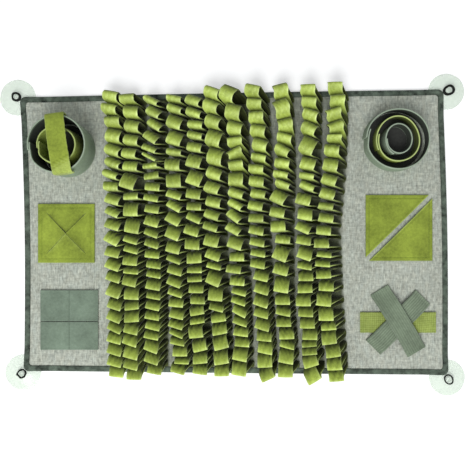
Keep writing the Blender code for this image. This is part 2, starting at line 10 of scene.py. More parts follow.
import bmesh
import bpy
import numpy as np
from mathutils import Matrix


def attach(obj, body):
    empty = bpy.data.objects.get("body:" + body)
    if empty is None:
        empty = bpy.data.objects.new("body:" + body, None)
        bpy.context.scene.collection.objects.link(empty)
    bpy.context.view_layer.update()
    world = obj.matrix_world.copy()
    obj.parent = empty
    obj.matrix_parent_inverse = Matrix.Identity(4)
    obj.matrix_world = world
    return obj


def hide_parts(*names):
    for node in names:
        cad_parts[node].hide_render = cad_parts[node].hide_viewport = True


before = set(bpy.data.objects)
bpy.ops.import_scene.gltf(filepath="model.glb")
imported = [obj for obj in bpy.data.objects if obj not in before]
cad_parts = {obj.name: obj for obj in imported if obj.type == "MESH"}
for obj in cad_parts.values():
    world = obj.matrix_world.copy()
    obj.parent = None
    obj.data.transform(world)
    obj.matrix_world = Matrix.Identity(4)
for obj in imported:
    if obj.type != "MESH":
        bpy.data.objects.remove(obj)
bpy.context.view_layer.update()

MM = 0.001

# ---- sizes in millimetres, the same as the solids' ----

# Corners of the mat (top left, bottom left, bottom right, top right) as x, y and the direction in
# degrees in which the suction cup sits outside the corner.
CORNERS = np.array([
    (-353.2, 225.3, 149.0),
    (-347.4, -228.2, 226.5),
    (354.3, -234.8, 301.7),
    (346.1, 237.7, 23.4),
])
SIDE_BOWS = np.array([-3.5, 0.5, 3.5, 1.0])     # left, bottom, right, top
CORNER_RADIUS = 10.0
CLOTH_THICK = 3.0
GAP = 0.3
SEWN_ON = CLOTH_THICK + GAP                     # underside of what is sewn on the cloth

CUP_RADIUS = 30.0
CUP_OUT = 7.8                # how far a suction cup's middle lies beyond the mat's rounded corner
DISC_RADII = (2.8, 8.0, 16.0, 24.0, 30.0)
DISC_HEIGHTS = (3.5, 2.8, 1.8, 1.2, 0.9)        # a suction cup's upper side at each radius
LIFT_CLEAR = 0.5             # the mat's height over a disc
LIFT_REACH = 45.0            # where the mat lies on the floor again, from the cup's middle

RIBBON_THICK = 2.0
LOOP_WIDE = 23.8             # full width of the loops' felt, a little more than the plain solids'
LOOP_HIGH = 28.0
LOOP_HIGH_RANGE = (0.93, 1.07)
LOOP_ROLL_RANGE = (-13.0, 3.0)
LOOP_SEED = 410
LEAN_TOP = 0.85              # share of the height at which a loop has made its whole lean and turn
FOOT_BACK = 2.0              # how far a loop's foot lies behind its crown
STITCH_FLAT = 7.0            # length of the flat ends of a ribbon
RIBBON_END_IN = 14.2         # from the mat's edge to a ribbon's end
GAP_HALF = 4.1               # half of the gap between two crowns, with half the felt's thickness
FLAT_SHARE = 0.35            # share of the sewn line that is stitched down flat
SEWN_LINE_PULL = 0.4         # how much straighter than its crowns a ribbon is sewn
# Each ribbon's crowns: their x at the top, upper quarter, middle, lower quarter and bottom, and how
# far the sewn line lies to their right.
RIBBONS = [
    ((-197.7, -197.8, -195.1, -192.9, -192.3), 12.0),
    ((-168.9, -167.4, -166.1, -165.4, -165.4), 12.0),
    ((-133.8, -130.9, -132.9, -129.7, -133.4), 12.0),
    ((-96.1, -95.0, -97.7, -94.5, -88.1), 12.0),
    ((-65.5, -63.4, -67.3, -60.5, -53.1), 12.0),
    ((-36.6, -31.0, -38.2, -26.6, -18.3), 12.0),
    ((-6.8, 5.0, 0.9, 8.0, 13.9), 12.0),
    ((29.7, 40.4, 35.4, 43.2, 52.8), 13.0),
    ((73.2, 80.2, 73.8, 76.5, 89.3), 12.0),
    ((120.6, 117.9, 113.5, 114.4, 127.2), 15.0),
    ((164.8, 159.5, 142.0, 150.1, 162.7), 17.0),
]
# LOOP_GAPS, LOOP_TURNS and LOOP_OVER were printed by a measuring program and refitted by another,
# and the same refit moved the lines of crowns in RIBBONS. They are data, not values chosen by hand.

# Where the gaps between each ribbon's loops lie, in millimetres, from above its first loop to
# below its last.
LOOP_GAPS = [
    (239, 217, 196.5, 176, 149.5, 126.5, 106.5, 88.5, 68, 45, 25.5, 3.5, -20.5, -41.5, -62.5, -81.5,
     -106.5, -126.5, -146, -162, -180.5, -199.5, -217.5, -235.5),
    (233, 212.5, 188.5, 165, 142.5, 121, 99.5, 69.5, 51.5, 24.5, -3, -19.5, -35, -55.5, -69, -89, -110.5,
     -127.5, -147.5, -166, -184.5, -206, -222.5, -239.5),
    (224.5, 208, 187, 167.5, 146, 129.5, 117.5, 102.5, 85, 65.5, 48.5, 29.5, 8, -8.5, -26, -43.5, -60,
     -75, -94.5, -109.5, -127, -143, -159, -174, -195, -213.5, -231),
    (229.5, 213, 195.5, 169.5, 141.5, 125, 100.5, 72.5, 53.5, 35, 12, -12.5, -35, -50.5, -70, -89,
     -104.5, -122.5, -141, -157, -169.5, -183.5, -202, -213.5, -229.5),
    (228.5, 207, 187.5, 169, 151.5, 130.5, 104, 75, 53, 34, 15.5, -6.5, -29.5, -52, -67.5, -82, -100,
     -117.5, -135.5, -149.5, -172.5, -194, -213.5, -230.5),
    (245.5, 223.5, 199, 174, 143.5, 112.5, 88.5, 64.5, 41.5, 21, 2, -24, -45.5, -61, -87, -112.5, -128.5,
     -146.5, -166.5, -191, -215, -234.5),
    (249.5, 218.5, 189.5, 163.5, 144.5, 125, 105.5, 78, 58, 39.5, 19, -2, -27.5, -48, -67.5, -87.5,
     -102.5, -118, -135.5, -151.5, -169, -186.5, -209.5, -233.5),
    (250, 227, 206, 184, 160.5, 136, 118, 98.5, 76.5, 57, 36, 16, -4.5, -23.5, -40.5, -59.5, -80, -101,
     -121.5, -139.5, -159.5, -177.5, -198, -220.5, -240.5),
    (252, 226, 194.5, 170, 150, 128.5, 107.5, 90.5, 74.5, 47.5, 25, 1.5, -18.5, -46.5, -70, -98.5,
     -118.5, -136, -154, -174, -188.5, -213, -236),
    (250, 229, 209, 187.5, 163, 129.5, 103.5, 87.5, 69, 44.5, 19.5, -1, -21.5, -45.5, -61.5, -80.5, -100,
     -121, -138.5, -157, -175.5, -186.5, -199, -219.5, -244.5),
    (254.5, 233.5, 210.5, 189.5, 166.5, 151.5, 128.5, 102, 78.5, 55, 37, 16, -5, -26.5, -42, -57.5,
     -76.5, -96.5, -121, -145, -159.5, -182.5, -204, -224.5, -243),
]
# How far each loop's crown is turned, in degrees.
LOOP_TURNS = [
    (-12, -12, -1, -11, -19, -23, -21, -3, -18, -24, -18, -28, -14, -22, -17, -20, -16, -21, -24, -16,
     -17, -14, -6),
    (3, -5, -12, -12, -9, -6, -18, 3, 0, -9, -17, -14, -6, -6, -12, -3, 7, 4, -12, -18, -16, -14, -2),
    (-26, -31, -33, -34, -22, -29, 6, 9, -3, -12, -9, -18, -21, -17, -5, -10, -9, -9, -9, -12, -11, -14,
     -11, -19, -18, -10),
    (-12, -18, -21, -20, -7, -3, 0, -18, -30, -30, -21, -15, -20, -18, -22, -19, -6, -14, -17, -22, -13,
     0, 0, -16),
    (-20, -19, -8, -12, -12, -16, -21, -8, -3, -23, -18, -4, 3, 0, 4, -2, 1, 13, 10, 8, 17, 7, -6),
    (-19, -21, -21, -19, -14, -20, -19, -12, -20, -18, -13, -19, -13, -22, -7, -13, 9, 10, 16, 11, 0),
    (-26, -12, -14, 6, 28, 8, -1, -19, -31, -39, -30, -18, 0, -9, -6, -14, -19, -26, -19, -7, -3, -10,
     -8),
    (-12, -6, 0, -11, -18, -10, -4, -10, -11, -10, -4, -12, -12, -12, -12, -14, -17, -19, -16, -16, -4,
     -10, 3, 28),
    (12, 18, 10, -16, -29, -7, -13, -22, -28, -12, 3, -6, -22, -17, -7, 0, -10, 0, 3, -17, -10, 0),
    (0, -5, -19, -28, -25, -14, -12, -24, -15, -9, -23, -11, -18, -11, 0, 0, 0, 0, 0, 0, 6, 7, 20, 35),
    (0, -1, 16, 20, 1, -7, -14, -19, -16, -9, -9, -6, 0, -6, -4, 3, -2, -6, 0, 7, 7, 9, 6, 6),
]
# How far each crown stands to the right of its ribbon's line.
LOOP_OVER = [
    (-1.5, -3.5, 1, 3, 2.5, 3, -1.5, -2, 1, 0, -0.5, -0.5, -1.5, -1, -1, 0, 0.5, 0, 1, 0.5, 0.5, 1, 3),
    (-4.5, 2.5, 4, 2, -1.5, 0, -3, 1, 0.5, 2.5, 0, 0.5, -1.5, 0.5, -2.5, 1, 0.5, 0.5, 0, -2, -0.5, -0.5,
     5),
    (0.5, 4, 5, -1.5, -5, -5, -5, -2.5, 0.5, -2, 0, 0.5, -0.5, 0, 0.5, 2.5, 1.5, 1, 1, -1, -1, 0, -1,
     -1.5, 0.5, 5),
    (-1, 0, 0, 0, -1.5, -4, -2, -0.5, 0.5, -0.5, -0.5, -1, -0.5, 1.5, -0.5, 0.5, 1, 1.5, -1, -1, 0, 3, 5,
     -2),
    (-0.5, 0, 2, 1.5, 0, -0.5, 1, 0, 1.5, 2, -1, -1, 0.5, 0.5, -1, 1, 2.5, 0, -0.5, -4, 1, 0.5, -1),
    (0.5, -1.5, 0.5, 0.5, 1, 1, -1, 2.5, 1.5, 0, 0.5, 0.5, 0.5, -2, -1.5, -2, 0, 0.5, 0.5, 0, -0.5),
    (-3.5, 1, 1.5, -2, -5, -2.5, -1, 0.5, 0.5, -0.5, -1.5, 0, 1, -5, -0.5, 1, -0.5, 0.5, 0.5, 1, 2, -2,
     -5),
    (-0.5, 0.5, 0.5, 2.5, 4, -0.5, -4.5, -2.5, 1.5, -2, -0.5, 0.5, 1, 1, -0.5, 3.5, 3, 1, 0, 0.5, 1.5,
     1.5, -0.5, 1.5),
    (0.5, -0.5, 5, 3.5, -1, -2, -3, 1, -3.5, -5, -3.5, 4.5, 1, 0.5, 1, 2, 1.5, 0, 2.5, 2, -1.5, -5),
    (-1.5, 1, 4.5, 3.5, 2, 2, 0.5, 2.5, -3, 0, -2, -1, 0.5, 0, 1.5, 0.5, -2.5, 0.5, 1, 3, 1, -0.5, -0.5,
     0.5),
    (-1.5, 3, -3, 1.5, 1, -2, -1, 0, 0.5, 1, 4, 2.5, -2.5, 0.5, -2.5, -2.5, 0.5, -4.5, -3, -1.5, -2.5, 2,
     2, 3.5),
]

PILE_REACH = (9.0, 15.0)     # from a sewn line, where the painted shade on the linen under the loops starts to fade
PILE_BETWEEN = 0.38          # how deep that painted shade stays between the ribbons
PILE_SIDE = (6.0, 16.0)      # from an outer ribbon, where that painted shade starts to fade, and ends

FELT = 2.5
WALL_FELT = 2.1              # the pockets' walls and rings are a little thinner than their solids
FELT_UNEVEN = 0.12           # half of what felt lying on the mat sinks by its unevenness
FLOOR_THICK = 2.0
RING_FLOOR = 5.6             # underside of the rings that stand on a pocket's floor
LAP_AIR = 0.8                # between the turns of a ring that laps itself

# The walls and rings of the two round pockets. add_ring says what each value is.
TALL_CUP = (-273.6, 137.0)
TALL_WALL = {"centre": TALL_CUP, "radius": 44.7, "low": SEWN_ON, "high": 50.0, "rim_in": -1.1,
             "shift": (-5.0, 3.0), "lap_angle": 177.0, "seed": 101}
TALL_RING = {"centre": (-276.8, 135.8), "radius": 33.4, "low": RING_FLOOR, "high": 46.0, "rim_in": 3.0,
             "shift": (-3.2, 3.2), "lap_angle": 168.0, "wobble": 0.9, "seed": 111}
TALL_FLOOR_RADIUS = 40.4
LOW_CUP = (264.9, 151.9)
LOW_WALL = {"centre": LOW_CUP, "radius": 52.8, "wider": -2.5, "low": SEWN_ON, "high": 29.0, "rim_in": 1.2,
            "shift": (-0.6, -0.2), "lap_angle": 160.0, "lap_length": 16.0, "seed": 201}
LOW_MIDDLE_RING = {"centre": LOW_CUP, "radius": 36.6, "wider": 2.9, "low": RING_FLOOR, "high": 27.5,
                   "shift": (0.0, -1.0), "lap_angle": 166.0, "lap_length": 26.0, "winding": True,
                   "seed": 211}
LOW_INNER_RING = {"centre": LOW_CUP, "radius": 24.6, "wider": 1.8, "low": RING_FLOOR, "high": 26.0,
                  "shift": (2.3, -0.4), "lap_angle": 178.0, "lap_length": 30.0, "winding": True,
                  "wobble": 1.0, "seed": 221}
LOW_FLOOR_RADIUS = 46.4

TALL_STRAP_WIDE = 30.0
TALL_STRAP_TURN = 8.0
# The tall pocket's strap from the side: place along it from the pocket's middle, and height.
TALL_STRAP_PATH = [
    (-48.8, 38.0), (-49.7, 46.0), (-49.5, 51.4), (-44.6, 53.9), (-24.0, 56.6), (-2.0, 57.4),
    (20.0, 56.4), (37.2, 54.0), (42.3, 51.4), (43.1, 46.0), (43.5, 38.0),
]
CREASE_AT = 27.5             # place along the strap where creases run across it
CREASE_LEAN = 5.8            # how far they lean along it, from its middle to its side
CREASES = (-3.6, 0.0, 3.9)   # where each crease lies, from that place
CREASE_WIDE = 0.9
CREASE_HIGHLIGHT = (-4.0, 1.0)    # the strap grows paler between these places, from that one: a painted highlight
TALL_STRAP_SHADE = (6.0, 26.0)                  # and is deeper in colour at its near end, up to here: painted shade

SLIT_POCKET = (-323.7, -230.0, -49.0, 48.5)    # left, right, bottom, top
SLIT_REACH = 0.65            # how far out the cuts go, as a share of the square
SLIT_HALF = 0.12             # half of a cut's width
SLIT_SEAM_IN = 6.2
SLIT_SEAM_DEEP = 0.7
FLAP_LIFTS = [4.2, 3.4, 1.6, 3.2]
FLAP_SHADES = [0.45, -0.25, -1.3, -0.25]        # painted light along each flap's cuts: how much paler, above 0, or deeper, below 0
FLAP_CURL = 1.2

SAGE_POCKET = (-319.6, -224.1, -192.8, -94.0)  # left, right, bottom, top
SAGE_MOUTH = -145.5
SAGE_MOUTH_GAP = 1.0
SAGE_PUFF = 2.4
SAGE_SEAM_IN = 3.4

CORNER_POCKET = (217.5, 327.9, -45.8, 63.1)    # left, right, bottom, top
CORNER_GAP = 8.0
CORNER_PUFF = 2.4
CORNER_SEAM_IN = 5.6

SHEET_FELT = FELT - 0.6      # the flat pockets' felt is a little thinner than their solids
STRAP_WIDE = 34.0
STRAP_SEAM_IN = 4.5
STRAP_EDGE_SHADE = (0.88, 0.98)     # shares across between which painted shade deepens its colour to its edge
STRAP_FURROWS = (-0.62, -0.2, 0.22, 0.64)       # places of its furrows, as shares across
KNIT_ROW = 3.7               # width of a row of knit along a strap
KNIT_RIB = 3.4               # length of a rib across it
# Each strap's ends, how far it rises, between which places from its ends it does, and how strongly
# the rows along it and the ribs across it show in its colour.
STRAPS = [
    ("lime_strap", "cross_strap_lime", "lime_strap", (208.5, -147.5), (333.5, -147.5), 0.0, (0.0, 10.0),
     (0.20, 0.42)),
    ("under_strap", "cross_strap_under", "sage_strap", (312.1, -105.8), (229.9, -188.7), 2.9, (1.0, 14.0),
     (0.46, 0.0)),
    ("over_strap", "cross_strap_over", "sage_strap", (240.1, -94.0), (301.9, -196.3), 5.9, (4.0, 34.0),
     (0.24, 0.0)),
]


# ---- camera, light and floor ----

def add_object(name, data):
    made = bpy.data.objects.new(name, data)
    bpy.context.collection.objects.link(made)
    return made


def set_inputs(node, values):
    for label, value in values.items():
        node.inputs[label].default_value = value


def add_camera():
    """Straight above the mat, with the mat's long side level."""
    lens = bpy.data.cameras.new("camera")
    lens.lens = 39.19
    lens.sensor_width = 36.0
    camera = add_object("camera", lens)
    camera.location = (0.0018, -0.0031, 0.85)
    bpy.context.scene.camera = camera


def add_key_light():
    """A very large soft light beyond the mat's near side, which shines on the mat's middle."""
    lamp = bpy.data.lights.new("key_light", "AREA")
    lamp.shape = "DISK"
    lamp.size = 1.8
    lamp.energy = 43.0
    light = add_object("key_light", lamp)
    x, y, z = -0.40, -1.62, 1.75
    light.location = (x, y, z)
    light.rotation_euler = (math.atan2(math.hypot(x, y), z), 0.0, math.atan2(-y, -x) - 0.5 * math.pi)


def add_surround():
    """An even pale surround and a pale floor that glows a little."""
    world = bpy.data.worlds.new("surround")
    bpy.context.scene.world = world
    world.use_nodes = True
    set_inputs(world.node_tree.nodes["Background"], {"Color": (0.96, 0.98, 1.0, 1.0), "Strength": 0.43})
    paint = bpy.data.materials.new("floor_paint")
    paint.use_nodes = True
    set_inputs(paint.node_tree.nodes["Principled BSDF"], {
        "Base Color": (0.93, 0.93, 0.93, 1.0), "Roughness": 0.9,
        "Emission Color": (1.0, 1.0, 1.0, 1.0), "Emission Strength": 0.36})
    mesh = bpy.data.meshes.new("floor")
    half = 4.0
    mesh.from_pydata([(-half, -half, 0.0), (half, -half, 0.0), (half, half, 0.0), (-half, half, 0.0)],
                     [], [(0, 1, 2, 3)])
    mesh.materials.append(paint)
    floor = add_object("floor", mesh)
    floor.location.z = -0.0002
    bpy.context.scene.view_settings.view_transform = "Standard"


# ---- helpers for shapes ----

RIPPLE_WAVES = 5
RUMPLE_WAVES = 8


def ease(share):
    """Smooth step, 3t^2 - 2t^3, of a share held between 0 and 1."""
    held = np.clip(share, 0.0, 1.0)
    return held * held * (3.0 - 2.0 * held)


def rise_between(place, first, last):
    """Smooth step that is 0 up to the first place and 1 from the last place on."""
    return ease((place - first) / (last - first))


def bump_at(place, middle, width):
    """Bell curve, 1 at its middle: exp(-(distance / width)^2)."""
    return np.exp(-((place - middle) / width) ** 2)


def stitch_groove(depth, inset, deep=0.5, width=0.9):
    """The furrow that a row of stitches draws into cloth, at a distance inside its edge."""
    return deep * bump_at(depth, inset, width)


def join(*values):
    """Points with these numbers or arrays as their coordinates."""
    return np.stack(np.broadcast_arrays(*values), axis=-1)


def heading(angle):
    """Unit vectors at these angles from +X: cosine and sine."""
    return join(np.cos(angle), np.sin(angle))


def round_angles(count):
    """Angles evenly spaced round a circle."""
    return 2.0 * math.pi * np.arange(count) / count


def unit(vectors):
    return vectors / np.linalg.norm(vectors, axis=-1, keepdims=True)


def turn_sine(turns):
    """Sine of a number of whole turns."""
    return np.sin(2.0 * math.pi * turns)


def ripple(place, seed, length):
    """Soft unevenness along a line, about -1 to 1: sines of around the given length, added up."""
    rng = np.random.default_rng(seed)
    sizes = length * rng.uniform(0.6, 1.9, RIPPLE_WAVES)
    starts = rng.uniform(0.0, 1.0, RIPPLE_WAVES)
    waves = turn_sine(np.asarray(place)[..., None] / sizes + starts)
    return waves.sum(axis=-1) / math.sqrt(2.0 * RIPPLE_WAVES)


def rumple(x, y, seed, length):
    """Soft unevenness of a surface, about -1 to 1: plane waves in random directions, added up."""
    rng = np.random.default_rng(seed)
    sizes = length * rng.uniform(0.6, 1.9, RUMPLE_WAVES)
    way = heading(rng.uniform(0.0, math.pi, RUMPLE_WAVES))
    starts = rng.uniform(0.0, 1.0, RUMPLE_WAVES)
    waves = turn_sine((x[..., None] * way[:, 0] + y[..., None] * way[:, 1]) / sizes + starts)
    return waves.sum(axis=-1) / math.sqrt(2.0 * RUMPLE_WAVES)


def smooth_line(points, steps):
    """Catmull-Rom curve through the points, with the given number of places from each to the next."""
    points = np.asarray(points, dtype=float)
    held = np.vstack([2.0 * points[0] - points[1], points, 2.0 * points[-1] - points[-2]])
    t = (np.arange(steps) / steps)[None, :, None]
    a, b, c, d = (held[i:len(held) - 3 + i, None, :] for i in range(4))
    curve = 0.5 * (2.0 * b + (c - a) * t + (2.0 * a - 5.0 * b + 4.0 * c - d) * t ** 2
                   + (3.0 * b - 3.0 * c + d - a) * t ** 3)
    return np.vstack([curve.reshape(-1, points.shape[1]), points[-1:]])


def run_along(points):
    """Distance along a line to each of its points."""
    steps = np.linalg.norm(np.diff(points, axis=0), axis=1)
    return np.concatenate([[0.0], np.cumsum(steps)])


def grid_quads(rows, cols, ring_rows=False, ring_cols=False):
    """Quads of a grid of points stored row by row. A ring direction joins its last line to its first."""
    i, j = np.meshgrid(np.arange(rows if ring_rows else rows - 1),
                       np.arange(cols if ring_cols else cols - 1), indexing="ij")
    below = (i + 1) % rows
    right = (j + 1) % cols
    corners = [i * cols + j, i * cols + right, below * cols + right, below * cols + j]
    return np.stack(corners, axis=-1).reshape(-1, 4)


def lay(shape, along=0.0, across=0.0, edge=0.0):
    """What the materials read at each point: places along and across the cloth, nearness to an edge."""
    return np.stack([np.broadcast_to(value, shape) for value in (along, across, edge)], axis=-1)


def make_piece(name, points, quads, cloth, node, finish, fans=(), sharp=50.0, shade=None):
    """Put a closed surface into a mesh object and give it its place on the mat.

    Points at the same place are joined first, and quads that lose a side this way become triangles.
    cloth holds the three values of lay: places along and across the cloth in millimetres, and how
    near the point is to a cut edge, 0 to 1. shade holds painted light and shade, with the knit and
    random tone of some pieces: how much paler, above 0, or deeper, below 0, the piece is there.
    """
    points = np.asarray(points, dtype=float).reshape(-1, 3)
    cloth = np.asarray(cloth, dtype=float).reshape(-1, 3)
    keys = np.round(points * 1000.0).astype(np.int64)
    _, first, joined = np.unique(keys, axis=0, return_index=True, return_inverse=True)
    joined = joined.reshape(-1)
    quads = joined[quads]
    lost = quads == np.roll(quads, -1, axis=1)
    whole = quads[~lost.any(axis=1)]
    once = lost.sum(axis=1) == 1
    triangles = quads[once][~lost[once]].reshape(-1, 3)
    faces = whole.tolist() + triangles.tolist() + [joined[list(fan)].tolist() for fan in fans]
    mesh = bpy.data.meshes.new(name)
    mesh.from_pydata((points[first] * MM).tolist(), [], faces)
    work = bmesh.new()
    work.from_mesh(mesh)
    bmesh.ops.recalc_face_normals(work, faces=work.faces)
    work.to_mesh(mesh)
    work.free()
    lie = mesh.attributes.new("cloth", "FLOAT_VECTOR", "POINT")
    lie.data.foreach_set("vector", cloth[first].astype(np.float32).ravel())
    if shade is not None:
        tone = mesh.attributes.new("shade", "FLOAT", "POINT")
        tone.data.foreach_set("value", np.asarray(shade, dtype=np.float32).reshape(-1)[first])
    mesh.shade_smooth()
    mesh.set_sharp_from_angle(angle=math.radians(sharp))
    material, slot = FINISHES[finish]
    mesh.materials.append(material)
    piece = add_object(name, mesh)
    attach(piece, "root")
    if node:
        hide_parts(node)
    return piece


def band_section(width, thick, steps):
    """Section of a flat band: place across, height over its middle and nearness to a cut edge.

    It runs along the upper face, round one edge, back along the lower face and round the other.
    Nearness is 1 lower on the lower face, so that a finish can tell it from the upper one and paint shade
    on it.
    The edges are squarish arcs: cosine and sine of the angle, each to the power 0.6.
    """
    half = 0.5 * thick
    inner = np.linspace(half, width - half, steps)
    angle = np.radians([62.0, 22.0, -22.0, -62.0])
    out = half * np.cos(angle) ** 0.6
    high = half * np.sign(angle) * np.abs(np.sin(angle)) ** 0.6
    near = np.zeros(steps)
    near[[0, -1]] = 0.6
    place = np.concatenate([inner, width - half + out, inner[::-1], half - out[::-1]]) - 0.5 * width
    height = np.concatenate([np.full(steps, half), high, np.full(steps, -half), high[::-1]])
    edge = np.concatenate([near, np.ones(4), near[::-1] - 1.0, np.ones(4)])
    return place, height, edge


def band_piece(name, first_edge, second_edge, thick, steps, node, finish, floor, swell, ragged=0.12,
               shade=None):
    """A band of cloth between two edge lines, each an array of places along the band.

    A point is middle + place * across + height * normal, with the normal square to the band's
    length and width, and lies at floor or higher. swell is a function of the distance along and the
    share across, -1 to 1, that gives how far the band stands out along its normal, and shade one of
    the same two that gives how much paler or deeper it is, its painted light and shade and its knit.
    ragged is how uneven its cut edges are.
    The piece's flat width and length come back with it.
    """
    middle = 0.5 * (first_edge + second_edge)
    span = second_edge - first_edge
    wide = np.linalg.norm(span, axis=1)
    place, height, edge = band_section(float(wide.mean()), thick, steps)
    along = run_along(middle)
    across = span / wide[:, None]
    normal = unit(np.cross(np.gradient(middle, axis=0), across))
    share = 2.0 * place / wide.mean()
    stretch = (wide / wide.mean())[:, None]
    sideways = place[None, :] * stretch
    sideways = sideways + ragged * np.maximum(edge, 0.0) * ripple(along, 7, 9.0)[:, None] * np.sign(place)
    out = height + swell(along[:, None], share[None, :])
    points = (middle[:, None, :] + sideways[:, :, None] * across[:, None, :]
              + out[:, :, None] * normal[:, None, :])
    points[:, :, 2] = np.maximum(points[:, :, 2], floor)
    count, around = points.shape[:2]
    cloth = lay((count, around), along[:, None], place, edge)
    ends = [range(around), range((count - 1) * around, count * around)]
    quads = grid_quads(count, around, ring_cols=True)
    tones = None
    if shade is not None:
        tones = np.broadcast_to(shade(along[:, None], share[None, :]), (count, around))
    piece = make_piece(name, points, quads, cloth, node, finish, ends, shade=tones)
    return piece, (float(wide.mean()) * MM, float(along[-1]) * MM)


def side_places(length, step, soft):
    """Places along one side of a sheet: close together in its rounded edges, even between them."""
    near = np.array([0.0, 0.08, 0.35, 1.0]) * soft
    count = max(2, int(round((length - 4.0 * soft) / step)))
    middle = np.linspace(2.0 * soft, length - 2.0 * soft, count + 1)
    return np.concatenate([near, middle, length - near[::-1]])


def sheet_piece(name, x, y, top, depth, thick, node, finish, ring=False, shade=None, parts=1, under=None):
    """A sheet lying on the mat, from a grid of places, its upper side's height and its thickness.

    Both faces are the middle surface moved by half the thickness. Towards a free edge, at depth 0,
    that half falls to nothing as (1 - (1 - d)^3)^(1/3), with d the depth as a share of half the
    thickness, so that the faces meet in a squarish edge. The grid may hold several parts below each
    other. With under, the sheet is thinner where its upper side sinks towards that height.
    """
    half = 0.5 * thick
    full = np.cbrt(1.0 - (1.0 - np.clip(depth / half, 0.0, 1.0)) ** 3)
    if under is not None:
        half = np.minimum(half, 0.5 * (top - under))
    upper = join(x, y, top - half + half * full)
    lower = join(x, y, top - half - half * full)
    rows, cols = depth.shape[0] // parts, depth.shape[1]
    one = grid_quads(rows, cols, ring_cols=ring)
    quads = (one[None] + rows * cols * np.arange(parts)[:, None, None]).reshape(-1, 4)
    quads = np.vstack([quads, quads[:, ::-1] + depth.size])
    cloth = np.stack([lay(depth.shape, x, y, np.exp(-depth ** 2))] * 2)
    tones = None if shade is None else np.stack([shade, shade])
    return make_piece(name, np.stack([upper, lower]), quads, cloth, node, finish, shade=tones)


def path_places(path, pitch, closed=False):
    """Places a pitch apart along a path of points, with the path's heading at each."""
    path = np.asarray(path, dtype=float)
    if closed:
        path = np.vstack([path, path[:1]])
    reach = run_along(path)
    count = max(1, int(reach[-1] / pitch))
    places = 0.5 * (reach[-1] - count * pitch) + pitch * (np.arange(count) + 0.5)

    def at(distance):
        return join(*(np.interp(distance, reach, line) for line in path.T))

    return at(places), unit(at(places + 0.3) - at(places - 0.3))


def thread_piece(name, centres, headings, length, size, finish):
    """Stitches: a short thread at each centre, sinking at both ends, made as one joined mesh.

    Along a stitch the places are -1, -0.8, 0, 0.8 and 1 of half its length, and the thread sinks
    by the fourth power of the place. Its section is a hexagon that narrows at the ends.
    """
    up = np.array([0.0, 0.0, 1.0])
    side = np.cross(up, headings)
    place = np.array([-1.0, -0.8, 0.0, 0.8, 1.0])
    narrow = np.array([0.35, 0.9, 1.0, 0.9, 0.35])
    sink = size * 1.1 * place ** 4
    ring = 0.5 * size * heading(round_angles(6))
    points = (centres[:, None, None, :]
              + (0.5 * length * place)[None, :, None, None] * headings[:, None, None, :]
              + (narrow[:, None] * ring[None, :, 0])[None, :, :, None] * side[:, None, None, :]
              + (narrow[:, None] * ring[None, :, 1] - sink[:, None])[None, :, :, None] * up)
    one = grid_quads(len(place), 6, ring_cols=True)
    caps = np.array([[3, 2, 1, 0], [5, 4, 3, 0], [24, 25, 26, 27], [24, 27, 28, 29]])
    one = np.vstack([one, caps])
    quads = (one[None] + 30 * np.arange(len(centres))[:, None, None]).reshape(-1, 4)
    return make_piece(name, points, quads, np.zeros(points.shape), None, finish)


# ---- materials ----

FINISHES = {}
GREY = (0.5, 0.5, 0.5, 1.0)
FOOT_SHADE_HEIGHTS = (8.0, 23.0)   # between which felt grows paler, out of the painted shade low down in the pile


class Value:
    """A shader's number, colour or vector. Each step of arithmetic on it adds a Math node."""

    def __init__(self, socket):
        self.socket = socket

    def step(self, operation, first, second=0.0):
        values = {0: first, 1: second}
        return add_node(self.socket.id_data, "ShaderNodeMath", 0, values, operation=operation)

    def __add__(self, other):
        return self.step("ADD", self, other)

    def __sub__(self, other):
        return self.step("SUBTRACT", self, other)

    def __rsub__(self, other):
        return self.step("SUBTRACT", other, self)

    def __mul__(self, other):
        return self.step("MULTIPLY", self, other)

    def __truediv__(self, other):
        return self.step("DIVIDE", self, other)

    def larger(self, other):
        return self.step("MAXIMUM", self, other)

    def wave(self, waves):
        """Sine that makes the given number of waves while this value grows by 1."""
        return self.step("SINE", self * (2.0 * math.pi * waves))

    __radd__ = __add__
    __rmul__ = __mul__


def add_node(tree, kind, output, inputs=None, **settings):
    """Add a shader node, make its settings, fill its inputs, and give back one of its outputs."""
    made = tree.nodes.new(kind)
    for name, value in settings.items():
        setattr(made, name, value)
    for key, value in (inputs or {}).items():
        if isinstance(value, Value):
            tree.links.new(value.socket, made.inputs[key])
        else:
            made.inputs[key].default_value = value
    return Value(made.outputs[output])


def noise(tree, place, stretch, detail=2.0, rough=0.5):
    """Noise, 0 to 1, on a place whose coordinates are first multiplied by stretch, per metre."""
    scale = stretch if isinstance(stretch, tuple) else (stretch, stretch, stretch)
    moved = add_node(tree, "ShaderNodeMapping", 0, {"Vector": place, "Scale": scale})
    values = {"Vector": moved, "Scale": 1.0, "Detail": detail, "Roughness": rough}
    return add_node(tree, "ShaderNodeTexNoise", 0, values)


def blend(tree, factor, first, second):
    """A colour between two others."""
    values = {"Factor": factor, "A": first, "B": second}
    return add_node(tree, "ShaderNodeMix", "Result", values, data_type="RGBA")


def tone_colour(tree, colour, value, saturation=1.0):
    """A colour with its value and saturation multiplied."""
    values = {"Hue": 0.5, "Saturation": saturation, "Value": value, "Fac": 1.0, "Color": colour}
    return add_node(tree, "ShaderNodeHueSaturation", 0, values)


def parts_of(vector):
    """The three numbers of a vector."""
    split = vector.socket.id_data.nodes.new("ShaderNodeSeparateXYZ")
    split.id_data.links.new(vector.socket, split.inputs[0])
    return [Value(output) for output in split.outputs]


def object_place(tree):
    return add_node(tree, "ShaderNodeTexCoord", "Object")


def cloth_place(tree):
    """Place along the cloth, place across it and nearness to a cut edge, from the piece's attribute."""
    return parts_of(add_node(tree, "ShaderNodeAttribute", "Vector", attribute_name="cloth"))


